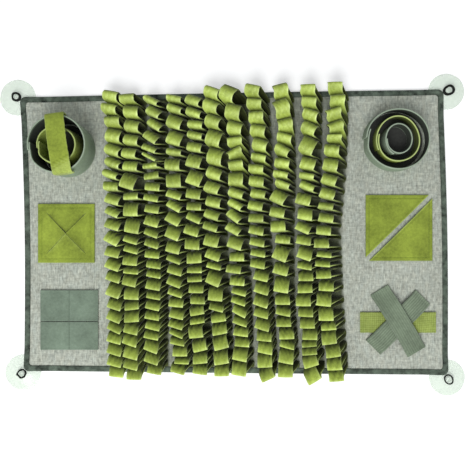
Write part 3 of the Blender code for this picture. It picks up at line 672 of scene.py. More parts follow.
def open_group(name, inputs):
    """A shader node group that gives out a colour and a height, and the values it is given."""
    tree = bpy.data.node_groups.new(name, "ShaderNodeTree")
    for label, value in inputs.items():
        kind = "NodeSocketColor" if isinstance(value, tuple) else "NodeSocketFloat"
        socket = tree.interface.new_socket(label, in_out="INPUT", socket_type=kind)
        socket.default_value = value
    for label, kind in (("Colour", "NodeSocketColor"), ("Height", "NodeSocketFloat")):
        tree.interface.new_socket(label, in_out="OUTPUT", socket_type=kind)
    given = tree.nodes.new("NodeGroupInput").outputs
    return tree, {label: Value(given[label]) for label in inputs}


def close_group(tree, colour, height):
    wanted = tree.nodes.new("NodeGroupOutput").inputs
    tree.links.new(colour.socket, wanted["Colour"])
    tree.links.new(height.socket, wanted["Height"])
    return tree


def make_felt_group():
    """Pressed felt: broad and small clouds of colour, short fibres, and a painted highlight on cut edges.

    It paints shade low down in the pile and on a band's inner side, and the light and shade that the
    piece's shade attribute holds, its highlights a little less saturated.
    """
    tree, given = open_group("felt", {
        "Colour": GREY, "Clouds": 0.3, "Edge Highlight": 0.3, "Foot Shade": 0.0, "Inner Shade": 0.0,
        "Shading": 0.45})
    place = object_place(tree)
    broad = noise(tree, place, 30.0)
    small = noise(tree, place, 240.0, 4.0, 0.6)
    fibres = noise(tree, place, (420.0, 2600.0, 1500.0))
    fibres = fibres.larger(noise(tree, place, (2600.0, 420.0, 1500.0)))
    clouds = 0.8 * broad + 0.6 * small + 0.5 * fibres
    near = cloth_place(tree)[2]
    # Painted highlight on cut edges, and painted shade on a band's inner side.
    edge = near.larger(0.0) * given["Edge Highlight"]
    inner = (near * -1.0).larger(0.0)
    # Painted shade low down in the pile.
    foot = add_node(tree, "ShaderNodeMapRange", 0, {
        "Value": parts_of(place)[2], "From Min": FOOT_SHADE_HEIGHTS[0] * MM, "From Max": FOOT_SHADE_HEIGHTS[1] * MM,
        "To Min": 1.0, "To Max": 0.0}, interpolation_type="SMOOTHSTEP")
    shade = add_node(tree, "ShaderNodeAttribute", "Fac", attribute_name="shade")
    value = (clouds - 0.98) * given["Clouds"] + 1.0 + edge
    value = value * (1.0 - foot * given["Foot Shade"]) * (1.0 - inner * given["Inner Shade"])
    # Painted light and shade from the piece's shade attribute, highlights less saturated.
    value = value * (shade * given["Shading"] + 1.0)
    saturation = 1.0 - (0.4 * edge + 0.16 * shade.larger(0.0))
    colour = tone_colour(tree, given["Colour"], value, saturation)
    return close_group(tree, colour, 0.9 * small + 0.5 * fibres)


def make_weave_group():
    """Linen: a plain weave of uneven threads, with slubs that run down the cloth.

    It has painted shade, deeper and greener, where the piece's attribute says that loops stand over it.
    """
    tree, given = open_group("weave", {
        "Colour": GREY, "Tint": GREY, "Unevenness": 0.3, "Thread Pitch": 0.0009, "Pile Shade": 0.0,
        "Pile Shade Colour": (0.1, 0.1, 0.1, 1.0)})
    place = object_place(tree)
    x, y, _ = parts_of(place)
    crossing = 0.5 * ((x / given["Thread Pitch"]).wave(0.5) * (y / given["Thread Pitch"]).wave(0.5)) + 0.5
    slubs = noise(tree, place, (230.0, 150.0, 1.0), 3.0, 0.65)
    broad = noise(tree, place, (22.0, 14.0, 1.0))
    threads = noise(tree, place, (700.0, 60.0, 1.0)) + 0.7 * noise(tree, place, (60.0, 700.0, 1.0))
    change = (threads + 1.4 * slubs + 0.4 * broad - 1.75) * given["Unevenness"]
    tinted = blend(tree, 0.8 * noise(tree, place, (120.0, 60.0, 1.0)), given["Colour"], given["Tint"])
    # Painted shade under the loops, tinted green as by light bounced off the felt.
    pile_shaded = blend(tree, cloth_place(tree)[2] * given["Pile Shade"], tinted, given["Pile Shade Colour"])
    colour = tone_colour(tree, pile_shaded, 0.10 * crossing + 0.95 + change)
    return close_group(tree, colour, 0.5 * crossing + 0.3 * threads + 0.35 * slubs)


def make_rib_group():
    """Ribbed tape: ribs across its length, fine threads along it, high places with wear, and painted shade
    where the piece's attribute marks an edge.
    """
    tree, given = open_group("ribs", {"Colour": GREY, "Pitch": 1.2, "Wear": 0.3})
    along, _, edge = cloth_place(tree)
    ribs = 0.5 * (along / given["Pitch"]).wave(1.0) + 0.5
    place = object_place(tree)
    wear_and_painted_light = noise(tree, place, 90.0, 3.0, 0.6)
    fine = noise(tree, place, 1300.0)
    change = (wear_and_painted_light - 0.5) * given["Wear"] + 0.25 * (fine - 0.5)
    # The last term paints shade towards the edges that the piece's attribute marks.
    colour = tone_colour(tree, given["Colour"], 0.22 * ribs + 0.89 + change - 0.35 * edge)
    return close_group(tree, colour, 0.7 * ribs + 0.3 * fine)


# Each cloth material: its slot, node group, colour, depth of its relief in millimetres, roughness,
# sheen, and the group's other values.
CLOTHS = {
    "lime_felt": ("lime_felt", "felt", (0.302, 0.385, 0.050), 0.5, 0.95, 0.25,
                  {"Clouds": 1.35, "Edge Highlight": 0.12}),
    "lime_ring": ("lime_felt", "felt", (0.300, 0.390, 0.050), 0.5, 0.95, 0.10,
                  {"Clouds": 1.6, "Edge Highlight": 0.60}),
    "lime_low_ring": ("lime_felt", "felt", (0.310, 0.400, 0.050), 0.5, 0.95, 0.06,
                      {"Clouds": 0.70, "Edge Highlight": 0.70, "Inner Shade": 0.72}),
    # loop_felt is lime felt made paler, a lit copy that makes up for the painted shade on the loops.
    "loop_felt": ("lime_felt", "felt", (0.405, 0.520, 0.083), 0.5, 0.95, 0.25,
                  {"Clouds": 1.3, "Shading": 0.46, "Edge Highlight": 0.34, "Foot Shade": 0.80,
                   "Inner Shade": 0.50}),
    "sage_felt": ("sage_felt", "felt", (0.215, 0.285, 0.213), 0.5, 0.95, 0.20,
                  {"Clouds": 0.95, "Edge Highlight": 0.30}),
    # sage_ring is sage felt made paler for the walls and rings, a lit copy, with painted shade on their
    # inner side.
    "sage_ring": ("sage_felt", "felt", (0.252, 0.322, 0.228), 0.5, 0.95, 0.06,
                  {"Clouds": 0.75, "Edge Highlight": 0.46, "Inner Shade": 0.87}),
    "sage_strap": ("sage_felt", "felt", (0.205, 0.262, 0.178), 0.5, 0.95, 0.20,
                   {"Clouds": 1.0, "Edge Highlight": 0.25, "Shading": 0.40}),
    "lime_strap": ("lime_felt", "felt", (0.330, 0.410, 0.095), 0.5, 0.95, 0.25,
                   {"Clouds": 1.0, "Edge Highlight": 0.12, "Shading": 0.40}),
    "charcoal_felt": ("charcoal_felt", "felt", (0.058, 0.060, 0.055), 0.5, 0.95, 0.06,
                      {"Clouds": 0.9, "Edge Highlight": 0.5}),
    "linen": ("linen", "weave", (0.515, 0.520, 0.425), 0.35, 0.88, 0.08,
              {"Tint": (0.430, 0.495, 0.455, 1.0), "Unevenness": 1.0, "Thread Pitch": 0.0009,
               "Pile Shade": 0.88, "Pile Shade Colour": (0.060, 0.074, 0.022, 1.0)}),
    "binding": ("binding", "ribs", (0.100, 0.130, 0.100), 0.3, 0.85, 0.10, {"Pitch": 1.2, "Wear": 3.4}),
    "binding_thread": ("binding", "ribs", (0.10, 0.13, 0.10), 0.1, 0.7, 0.1, {"Pitch": 0.5, "Wear": 0.2}),
    "lime_thread": ("lime_felt", "ribs", (0.30, 0.45, 0.05), 0.1, 0.7, 0.1, {"Pitch": 0.5, "Wear": 0.2}),
    "sage_thread": ("sage_felt", "ribs", (0.16, 0.22, 0.16), 0.1, 0.7, 0.1, {"Pitch": 0.5, "Wear": 0.2}),
    "elastic": ("elastic", "ribs", (0.012, 0.014, 0.012), 0.25, 0.75, 0.05, {"Pitch": 0.9, "Wear": 0.5}),
}


def new_material(name, slot, settings):
    """A material with the given constants on its shader, known by its name and its slot."""
    made = bpy.data.materials.new(name)
    made.use_nodes = True
    tree = made.node_tree
    shader = tree.nodes["Principled BSDF"]
    set_inputs(shader, settings)
    FINISHES[name] = (made, slot)
    return tree, shader


def make_cloth_finish(name, slot, group, colour, relief, roughness, sheen, values):
    """A cloth material: the group's colour and height, and a soft sheen from fine fibres."""
    tree, shader = new_material(name, slot, {
        "Roughness": roughness, "Specular IOR Level": 0.2, "Sheen Weight": sheen, "Sheen Roughness": 0.5})
    look = tree.nodes.new("ShaderNodeGroup")
    look.node_tree = group
    set_inputs(look, {"Colour": (*colour, 1.0), **values})
    normal = add_node(tree, "ShaderNodeBump", 0, {
        "Strength": 0.8, "Distance": relief * MM, "Height": Value(look.outputs["Height"])})
    tree.links.new(look.outputs["Colour"], shader.inputs["Base Color"])
    tree.links.new(normal.socket, shader.inputs["Normal"])


def make_clear_vinyl():
    """Soft clear vinyl: mostly see-through, with a pale green body that shows more edge-on."""
    tree, shader = new_material("clear_vinyl", "clear_vinyl", {
        "Roughness": 0.12, "Coat Weight": 0.6, "Coat Roughness": 0.06})
    clouds = noise(tree, object_place(tree), 70.0, 3.0)
    tint = blend(tree, clouds, (0.74, 0.87, 0.72, 1.0), (0.86, 0.94, 0.85, 1.0))
    rim = add_node(tree, "ShaderNodeLayerWeight", "Facing", {"Blend": 0.35})
    body = 0.40 * rim + 0.16 * clouds + 0.26
    relief = add_node(tree, "ShaderNodeBump", 0, {"Strength": 0.5, "Distance": 0.0004, "Height": clouds})
    tree.links.new(tint.socket, shader.inputs["Base Color"])
    tree.links.new(body.socket, shader.inputs["Alpha"])
    tree.links.new(relief.socket, shader.inputs["Normal"])


def make_finishes():
    groups = {"felt": make_felt_group(), "weave": make_weave_group(), "ribs": make_rib_group()}
    for name, (slot, group, *rest) in CLOTHS.items():
        make_cloth_finish(name, slot, groups[group], *rest)
    make_clear_vinyl()


# ---- the mat's outline and its lift over the suction cups ----

ARC_STEPS = 12
SIDE_STEPS = (92, 140, 92, 140)


def arc_centres(reach):
    """Middles of the rounded corners, at a distance inside the mat's corner points."""
    return CORNERS[:, :2] - np.sign(CORNERS[:, :2]) * reach


def cup_directions():
    return heading(np.radians(CORNERS[:, 2]))


NECKS = arc_centres(CORNER_RADIUS) + (CORNER_RADIUS + CUP_OUT) * cup_directions()


def mat_lift(x, y):
    """Height by which the mat is raised: over each disc, easing to nothing around it."""
    lift = np.zeros(np.shape(x))
    for centre in NECKS:
        distance = np.hypot(x - centre[0], y - centre[1])
        over = np.interp(distance, DISC_RADII, DISC_HEIGHTS) + LIFT_CLEAR
        left = np.clip((LIFT_REACH - distance) / (LIFT_REACH - CUP_RADIUS), 0.0, 1.0)
        lift = np.maximum(lift, over * left ** 2)
    return lift


def outline(inset, radius):
    """Points round the mat at a distance inside its edge: four rounded corners and bowed sides.

    A side is a straight line plus its bow times the sine of the share along it. Every inset gives
    the same number of points.
    """
    centres = arc_centres(inset + radius)
    rows = []
    for index in range(4):
        angles = np.radians(90.0 + 90.0 * index + np.linspace(0.0, 90.0, ARC_STEPS + 1))
        arc = centres[index] + radius * heading(angles)
        out = heading(angles[-1])
        begin, end = arc[-1], centres[(index + 1) % 4] + radius * out
        share = (np.arange(1, SIDE_STEPS[index]) / SIDE_STEPS[index])[:, None]
        bow = SIDE_BOWS[index] * np.sin(math.pi * share) * out
        rows += [arc, begin + share * (end - begin) + bow]
    return np.vstack(rows)


def edge_y(x, top):
    """Where the mat's top or bottom edge runs at a place along X."""
    first, second = (CORNERS[0], CORNERS[3]) if top else (CORNERS[1], CORNERS[2])
    share = (x - first[0]) / (second[0] - first[0])
    return first[1] + share * (second[1] - first[1])


# ---- the mat ----

PANEL_IN = 1.5               # the panel's edge, inside the binding
PANEL_THIN = (2.6, 1.4)      # its upper and lower side where the binding holds it
PANEL_CELL = 5.0
PANEL_SOFT = 1.2             # depth of its rounded edge
PANEL_HELD = (8.9, 10.5)     # between these places from its edge it grows to its whole thickness
PANEL_UNEVEN = 0.25


def shade_under_loops(piece):
    """Write into the third value of a panel's attribute how deep it lies under the loops, for the painted
    shade there.

    It is 1 at a ribbon's sewn line, falls to PILE_BETWEEN between two ribbons and to 0 outside them.
    """
    count = len(piece.data.vertices)
    spots = np.empty(3 * count)
    piece.data.vertices.foreach_get("co", spots)
    x, y, _ = spots.reshape(-1, 3).T / MM
    lines = []
    for index in range(len(RIBBONS)):
        _, sewn_x, _, crown_y, *_ = ribbon_loops(index)
        lines.append(np.interp(y, crown_y[::-1], sewn_x[::-1]))
    lines = np.array(lines)
    under = 1.0 - rise_between(np.abs(x - lines).min(axis=0), *PILE_REACH)
    outside = np.maximum(lines.min(axis=0) - x, x - lines.max(axis=0))
    between = 1.0 - rise_between(outside, *PILE_SIDE)
    values = lay((count,), edge=np.maximum(under, PILE_BETWEEN * between))
    piece.data.attributes["cloth"].data.foreach_set("vector", values.reshape(-1))


def add_panel():
    """The linen panel: a grid drawn to the mat's bowed sides, with its corners rounded.

    A place is the blend of the four corners, moved outwards by each side's bow times the sine of
    the share along it. In a corner's square, (a, b) goes to (a sqrt(1 - b^2/2), b sqrt(1 - a^2/2)),
    which draws the square into a quarter of a disc.
    """
    corners = arc_centres(PANEL_IN)
    size = corners.max(axis=0) - corners.min(axis=0)
    u, v = (side_places(side, PANEL_CELL, PANEL_SOFT) / side for side in size)
    v, u = (a[..., None] for a in np.meshgrid(v, u, indexing="ij"))
    top_left, bottom_left, bottom_right, top_right = corners
    spot = ((1.0 - u) * (1.0 - v) * bottom_left + u * (1.0 - v) * bottom_right
            + u * v * top_right + (1.0 - u) * v * top_left)
    left, bottom, right, top = SIDE_BOWS
    spot[..., 0] += (np.sin(math.pi * v) * (u * right - (1.0 - u) * left))[..., 0]
    spot[..., 1] += (np.sin(math.pi * u) * (v * top - (1.0 - v) * bottom))[..., 0]
    radius = CORNER_RADIUS - PANEL_IN
    for corner, centre in zip(corners, arc_centres(PANEL_IN + radius)):
        away = (spot - centre) * np.sign(corner) / radius
        a, b = away[..., 0], away[..., 1]
        inside = (a > 0.0) & (b > 0.0)
        a, b = np.clip(a, 0.0, 1.0), np.clip(b, 0.0, 1.0)
        drawn = join(a * np.sqrt(1.0 - 0.5 * b ** 2), b * np.sqrt(1.0 - 0.5 * a ** 2))
        spot = np.where(inside[..., None], centre + drawn * np.sign(corner) * radius, spot)
    x, y = spot[..., 0], spot[..., 1]
    u, v = u[..., 0], v[..., 0]
    depth = np.minimum(np.minimum(u, 1.0 - u) * size[0], np.minimum(v, 1.0 - v) * size[1])
    full = rise_between(depth, *PANEL_HELD)
    waves = np.clip(0.5 + 0.5 * rumple(x, y, 31, 60.0), 0.0, 1.0)
    upper = PANEL_THIN[0] + full * (CLOTH_THICK - PANEL_THIN[0] - PANEL_UNEVEN * waves)
    lower = PANEL_THIN[1] * (1.0 - full)
    piece = sheet_piece("linen_panel", x, y, upper + mat_lift(x, y), depth, upper - lower,
                        "mat_cloth", "linen")
    shade_under_loops(piece)
    size[1] * MM
    size[0] * MM


# The binding's section: distance inside the mat's edge, and height.
BINDING_SECTION = [
    (9.5, 0.0), (6.0, 0.0), (2.4, 0.0), (1.1, 0.25), (0.3, 0.9), (0.0, 2.0), (0.3, 3.0), (1.1, 3.7),
    (2.4, 3.95), (4.4, 4.0), (6.8, 3.95), (8.6, 3.85), (9.3, 3.7), (9.55, 3.35), (9.3, 3.05),
    (7.0, 3.0), (3.0, 3.0), (1.4, 2.9), (1.0, 2.0), (1.4, 1.1), (3.0, 1.0), (9.2, 1.0), (9.45, 0.5),
]
BINDING_TOP = 3.95
BINDING_ABOVE = (2.6, 3.6)   # heights between which its upper side starts
BINDING_SEAM_IN = 7.9        # the row of stitches, from the mat's edge
BINDING_FOLD = (18.0, 26.0)  # how far from a corner its fold line starts to fade, and ends
FOLD_GROOVE = (0.4, 0.5)     # the fold line's groove: its place beside the corner's middle, and width
FOLD_RIDGE = (-1.2, 1.2)     # and its ridge
SEAM_CORNER = 5.0            # radius of the row of stitches at the corners


def binding_sink(x, y, inset, along):
    """How far the binding's upper side is drawn in: puckers, a stitch groove and folds at corners."""
    pucker = 0.22 * ripple(along + 1.3 * inset, 12, 9.0) + 0.12 * ripple(along - inset, 13, 26.0)
    groove = stitch_groove(inset, BINDING_SEAM_IN, 0.35, 0.7)
    fold = np.zeros(np.shape(x))
    for corner in CORNERS[:, :2]:
        away = (join(x, y) - corner) * -np.sign(corner)
        off = (away[..., 0] - away[..., 1]) / math.sqrt(2.0)
        near = 1.0 - rise_between(away.max(axis=-1), *BINDING_FOLD)
        fold = fold + near * (0.55 * bump_at(off, *FOLD_GROOVE) - 0.25 * bump_at(off, *FOLD_RIDGE))
    return 0.6 * np.clip(0.5 + pucker, 0.0, 1.0) + groove + fold - 0.2


def add_binding():
    """Binding tape folded round the mat's edge: a U section carried round the outline.

    At each point of the section the outline is taken at that point's inset, and the upper side
    sinks by the puckers, the stitch groove and the folds at the corners.
    """
    section = np.array(BINDING_SECTION)
    along = run_along(outline(0.0, CORNER_RADIUS))
    layers = []
    for inset, height in section:
        x, y = outline(inset, max(CORNER_RADIUS - inset, SEAM_CORNER)).T
        above = rise_between(height, *BINDING_ABOVE)
        sink = above * binding_sink(x, y, inset, along)
        layers.append(join(x, y, height + mat_lift(x, y) - sink))
    points = np.array(layers).transpose(1, 0, 2)
    inset = section[:, 0]
    # Painted shade along the tape's inner edges and its outer fold, carried as its nearness to an edge.
    wear_and_painted_light = bump_at(inset, 9.5, 0.8) + 0.7 * bump_at(inset, 0.0, 0.9)
    cloth = lay(points.shape[:2], along[:, None], inset, wear_and_painted_light)
    quads = grid_quads(*points.shape[:2], ring_rows=True, ring_cols=True)
    piece = make_piece("binding_tape", points, quads, cloth, "mat_binding", "binding", sharp=60.0)
    seam = outline(BINDING_SEAM_IN, SEAM_CORNER)
    height = BINDING_TOP + mat_lift(*seam.T) - binding_sink(*seam.T, BINDING_SEAM_IN, along)
    centres, headings = path_places(np.column_stack([seam, height + 0.15]), 3.8, closed=True)
    threads = thread_piece("binding_stitches", centres, headings, 2.9, 0.55, "binding_thread")


# ---- the felt loops ----

# A loop's path from its upper stitches over its crown to its lower ones: share of the base's half
# length, share of the crown's half length, and share of the height. The crown rises towards the
# lower side, where it bends over.
LOOP_PATH = np.array([
    (1.0, 0.0, 0.0), (0.55, 0.50, 0.22), (0.0, 1.02, 0.46), (0.0, 1.08, 0.64), (0.0, 0.82, 0.79),
    (0.0, 0.22, 0.90), (0.0, -0.46, 1.00), (0.0, -0.96, 0.97), (0.0, -1.04, 0.74),
    (-0.45, -0.55, 0.30), (-1.0, 0.0, 0.0),
])
# How much paler or deeper its felt is at each of these places: painted shade on the loop's upper side and
# legs, and a painted highlight where the crown bends over on its lower side.
LOOP_SHADE = np.array([-0.6, -1.2, -1.7, -1.9, -1.70, -0.76, 0.10, 0.68, 0.1, -0.9, -0.9])
LOOP_SMOOTH = 3              # places from one of them to the next
LOOP_FREE = 0.5              # share of the height from which a loop is wholly free to sway and curl
SWAY_SEED = 50
CURL_SEED = 70
WEAR_SEED = 90
RIBBON_LOW = SEWN_ON + 0.5 * RIBBON_THICK       # middle of a ribbon's felt where it is sewn down


def ribbon_loops(index):
    """One ribbon's loops: stitches along Y, and each crown's place, half length, height and turn.

    A crown lies midway between the gaps on its two sides and reaches from one to the other less
    GAP_HALF at each end. It is turned by LOOP_TURNS and moved across by LOOP_OVER, and its height and
    roll are drawn at random. The stitches keep the gaps' proportions, drawn in to the mat's edges.
    """
    crown_line, aside = RIBBONS[index]
    rng = np.random.default_rng(LOOP_SEED + index)
    gaps = np.array(LOOP_GAPS[index], float)
    crown_y = 0.5 * (gaps[:-1] + gaps[1:])
    half = 0.5 * (gaps[:-1] - gaps[1:]) - GAP_HALF
    share = (gaps[0] - crown_y) / (gaps[0] - gaps[-1])
    crown_x = np.interp(share, np.linspace(0.0, 1.0, 5), crown_line)
    sewn_x = crown_x + aside + SEWN_LINE_PULL * (np.mean(crown_line) - crown_x)
    crown_x = crown_x + np.array(LOOP_OVER[index])
    turn = np.radians(LOOP_TURNS[index])
    high = LOOP_HIGH * rng.uniform(*LOOP_HIGH_RANGE, len(half))
    roll = np.radians(rng.uniform(*LOOP_ROLL_RANGE, len(half)))
    first = edge_y(crown_line[0], True) - RIBBON_END_IN
    last = edge_y(crown_line[-1], False) + RIBBON_END_IN
    stitches = np.interp(gaps, (gaps[-1], gaps[0]), (last, first))
    return stitches, sewn_x, crown_x, crown_y, half, high, turn, roll


def ribbon_line(index):
    """A ribbon's middle line, the direction across it, its share of the loops' height, and its shade.

    Each row of LOOP_PATH gives an offset along the ribbon and a share s of the height. At share s
    the loop's middle has moved along the ribbon from its foot to its crown by s. Its move across and
    its turn are eased, and whole at LEAN_TOP. A smooth curve joins the rows.
    """
    stitches, sewn_x, crown_x, crown_y, half, high, turn, roll = ribbon_loops(index)
    base = 0.5 * (stitches[:-1] - stitches[1:]) * (1.0 - FLAT_SHARE)
    base_y = 0.5 * (stitches[:-1] + stitches[1:])
    share = np.broadcast_to(LOOP_PATH[:, 2], (len(half), len(LOOP_PATH)))
    offset = LOOP_PATH[:, 0] * base[:, None] + LOOP_PATH[:, 1] * half[:, None]
    lean = ease(share / LEAN_TOP)
    angle = turn[:, None] * lean
    tip = roll[:, None] * share
    foot = base_y[:, None] + FOOT_BACK
    x = sewn_x[:, None] + lean * (crown_x - sewn_x)[:, None] - offset * np.sin(angle)
    y = foot + share * (crown_y[:, None] - foot) + offset * np.cos(angle)
    z = RIBBON_LOW + share * (high[:, None] - RIBBON_LOW)
    across = join(np.cos(tip) * np.cos(angle), np.cos(tip) * np.sin(angle), -np.sin(tip))
    ends = np.array([(sewn_x[0], stitches[0] + 0.5 * STITCH_FLAT, RIBBON_LOW),
                     (sewn_x[-1], stitches[-1] - 0.5 * STITCH_FLAT, RIBBON_LOW)])
    flat = np.array([[1.0, 0.0, 0.0]])
    line = np.vstack([ends[:1], join(x, y, z).reshape(-1, 3), ends[1:]])
    across = np.vstack([flat, across.reshape(-1, 3), flat])
    share = np.concatenate([[0.0], share.reshape(-1), [0.0]])[:, None]
    shade = np.concatenate([[0.0], np.tile(LOOP_SHADE, len(half)), [0.0]])[:, None]
    whole = smooth_line(np.hstack([line, across, share, shade]), LOOP_SMOOTH)
    return whole[:, :3], unit(whole[:, 3:6]), whole[:, 6], whole[:, 7]


def add_loop_ribbon(index):
    """A ribbon of felt, sewn down between its loops, which sway and curl, with painted light and shade
    along each loop and a random unevenness of tone.
    """
    line, across, share, tone = ribbon_line(index)
    line[:, 2] = np.maximum(line[:, 2], RIBBON_LOW)
    free = rise_between(share, 0.0, LOOP_FREE)
    sway = 0.5 * free * ripple(run_along(line), SWAY_SEED + index, 38.0)
    line = line + sway[:, None] * across

    def curl(place, side):
        rim = 0.5 * ripple(place, CURL_SEED + index, 27.0) * side + 0.35 * (1.0 - side ** 2)
        return free[:, None] * rim

    # Painted light and shade from LOOP_SHADE, the highlight stronger towards one edge, with random
    # unevenness of tone.
    def wear_and_painted_light(place, side):
        uneven = 0.35 * ripple(place + 31.0 * side, WEAR_SEED + index, 17.0)
        return tone[:, None] + 0.35 * side * np.maximum(tone, 0.0)[:, None] + uneven

    reach = 0.5 * LOOP_WIDE * across
    piece, flat = band_piece(
        f"felt_loops_{index + 1:02d}", line - reach, line + reach, RIBBON_THICK, 9,
        f"loop_ribbon_{index + 1:02d}", "loop_felt", floor=SEWN_ON, swell=curl, shade=wear_and_painted_light)


# ---- the round pockets ----

WALL_STEPS = 200
LAP_TUCK = FELT + 0.5        # how far the first end of a wall is tucked inside
LAP_TURN = 0.45              # angle over which it comes out again
WINDING = (FELT + LAP_AIR) / (2.0 * math.pi)    # how much a winding ring's radius grows a radian
RIM_WAVE = 70.0              # length of a rim's waves in and out
RISE_WAVE = 55.0             # and up and down
BULGE_WAVE = 48.0            # and of the waves along a wall's middle


def add_ring(name, node, finish, centre, radius, low, high, lap_angle, seed, rim_in=0.0, shift=(0.0, 0.0),
             wider=0.0, lap_length=12.0, winding=False, wobble=0.6):
    """A strip of felt bent into a ring that laps itself.

    radius is the outer radius at the foot, more by wider along Y, and the ring stands from low to
    high. The rim is smaller by rim_in and moved by shift, and wavers by wobble. The strip laps itself
    by lap_length, from lap_angle on. When winding, its radius grows evenly from its inner end to its
    outer end. Otherwise it keeps its radius and only its first end is tucked inside.
    """
    sweep = 2.0 * math.pi + lap_length / radius
    turned = np.linspace(0.0, sweep, WALL_STEPS)
    angle = math.radians(lap_angle) + turned
    if winding:
        size = radius - WINDING * (sweep - turned)
    else:
        size = radius - LAP_TUCK * (1.0 - ease((turned - lap_length / radius) / LAP_TURN))
    size = size - 0.5 * WALL_FELT
    out = heading(angle) * (1.0, 1.0 + wider / radius)
    uneven = wobble * ripple(turned * radius, seed, RIM_WAVE)
    foot = np.array(centre) + size[:, None] * out
    rim = np.array(centre) + np.array(shift) + (size - rim_in + uneven)[:, None] * out
    rise = 0.5 * wobble * ripple(turned * radius, seed + 1, RISE_WAVE)
    foot = join(*foot.T, low)
    rim = join(*rim.T, high + np.minimum(rise, 0.4))

    def bulge(place, side):
        return 0.5 * wobble * ripple(place, seed + 2, BULGE_WAVE) * (1.0 - side ** 2)

    piece, flat = band_piece(name, foot, rim, WALL_FELT, 12, node, finish, swell=bulge, ragged=0.2,
                             floor=low)


def add_floor_felt(name, node, centre, radius, seed):
    """A disc of dark felt: radius times cosine and sine, on rings that are closer at its edge."""
    rings = radius - side_places(2.0 * radius, 3.0, 0.9)
    rings = rings[rings >= 0.0]
    rings = np.append(rings[rings > 0.5], 0.0)
    size, angle = np.meshgrid(rings, round_angles(96), indexing="ij")
    x = centre[0] + size * np.cos(angle)
    y = centre[1] + size * np.sin(angle)
    top = SEWN_ON + FLOOR_THICK - FELT_UNEVEN * (1.0 + rumple(x, y, seed, 22.0))
    piece = sheet_piece(name, x, y, top, radius - size, FLOOR_THICK - 0.2, node, "charcoal_felt", ring=True)


def add_tall_pocket():
    """The tall pocket: sage wall, lime ring inside it, dark floor and a strap over the top.

    The strap is creased where it bends down, with painted shade along its creases and at its near end, and
    a painted highlight past them.
    """
    add_ring("tall_wall", "tall_cup_wall", "sage_ring", **TALL_WALL)
    add_ring("tall_ring", "tall_cup_inner", "lime_ring", **TALL_RING)
    add_floor_felt("tall_floor", "tall_cup_floor", TALL_CUP, TALL_FLOOR_RADIUS, 121)
    turn = math.radians(TALL_STRAP_TURN)
    way = np.array([math.sin(turn), -math.cos(turn), 0.0])
    side = np.array([math.cos(turn), math.sin(turn), 0.0])
    path = smooth_line(TALL_STRAP_PATH, 9)
    line = np.array([*TALL_CUP, 0.0]) + path[:, :1] * way + path[:, 1:] * np.array([0.0, 0.0, 1.0])
    fold = float(run_along(path)[np.argmin(np.abs(path[:, 0] - CREASE_AT))])

    def creases(place, share):
        off = place - fold + CREASE_LEAN * share
        return off, sum(bump_at(off, at, CREASE_WIDE) for at in CREASES)

    def swell(place, share):
        edge = 0.5 * ripple(place, 131, 30.0) * share ** 2
        return 0.5 * (1.0 - share ** 2) - 0.6 * creases(place, share)[1] + edge

    # Painted light on the strap: shade in its creases and at its near end, a highlight past the creases.
    def tone(place, share):
        off, lines = creases(place, share)
        pale = rise_between(off, *CREASE_HIGHLIGHT)
        deep = 1.0 - rise_between(place, *TALL_STRAP_SHADE)
        return 0.6 * pale - 0.6 * lines - 0.5 * deep

    reach = 0.5 * TALL_STRAP_WIDE * side
    piece, flat = band_piece("tall_strap", line - reach, line + reach, FELT, 24, "tall_cup_strap",
                             "lime_felt", floor=SEWN_ON, swell=swell, ragged=0.25, shade=tone)


def add_low_pocket():
    """The low pocket: a wall and two lapped rings inside each other, on a dark floor."""
    add_ring("low_wall", "low_cup_wall", "sage_ring", **LOW_WALL)
    add_ring("low_middle_ring", "low_cup_middle", "lime_low_ring", **LOW_MIDDLE_RING)
    add_ring("low_inner_ring", "low_cup_inner", "sage_ring", **LOW_INNER_RING)
    add_floor_felt("low_floor", "low_cup_floor", LOW_CUP, LOW_FLOOR_RADIUS, 231)


# ---- the flat pockets and the crossed straps ----

TOP_OF_FELT = SEWN_ON + FELT
FELT_SOFT = 0.5 * FELT       # depth of a sheet's rounded edge
STITCH_PITCH = 4.2
STITCH_LONG = 3.1
STITCH_THICK = 0.6


def add_seams(name, paths, finish):
    """Rows of stitches along several paths of points, as one piece."""
    spots, ways = zip(*(path_places(path, STITCH_PITCH) for path in paths))
    return thread_piece(name, np.vstack(spots), np.vstack(ways), STITCH_LONG, STITCH_THICK, finish)


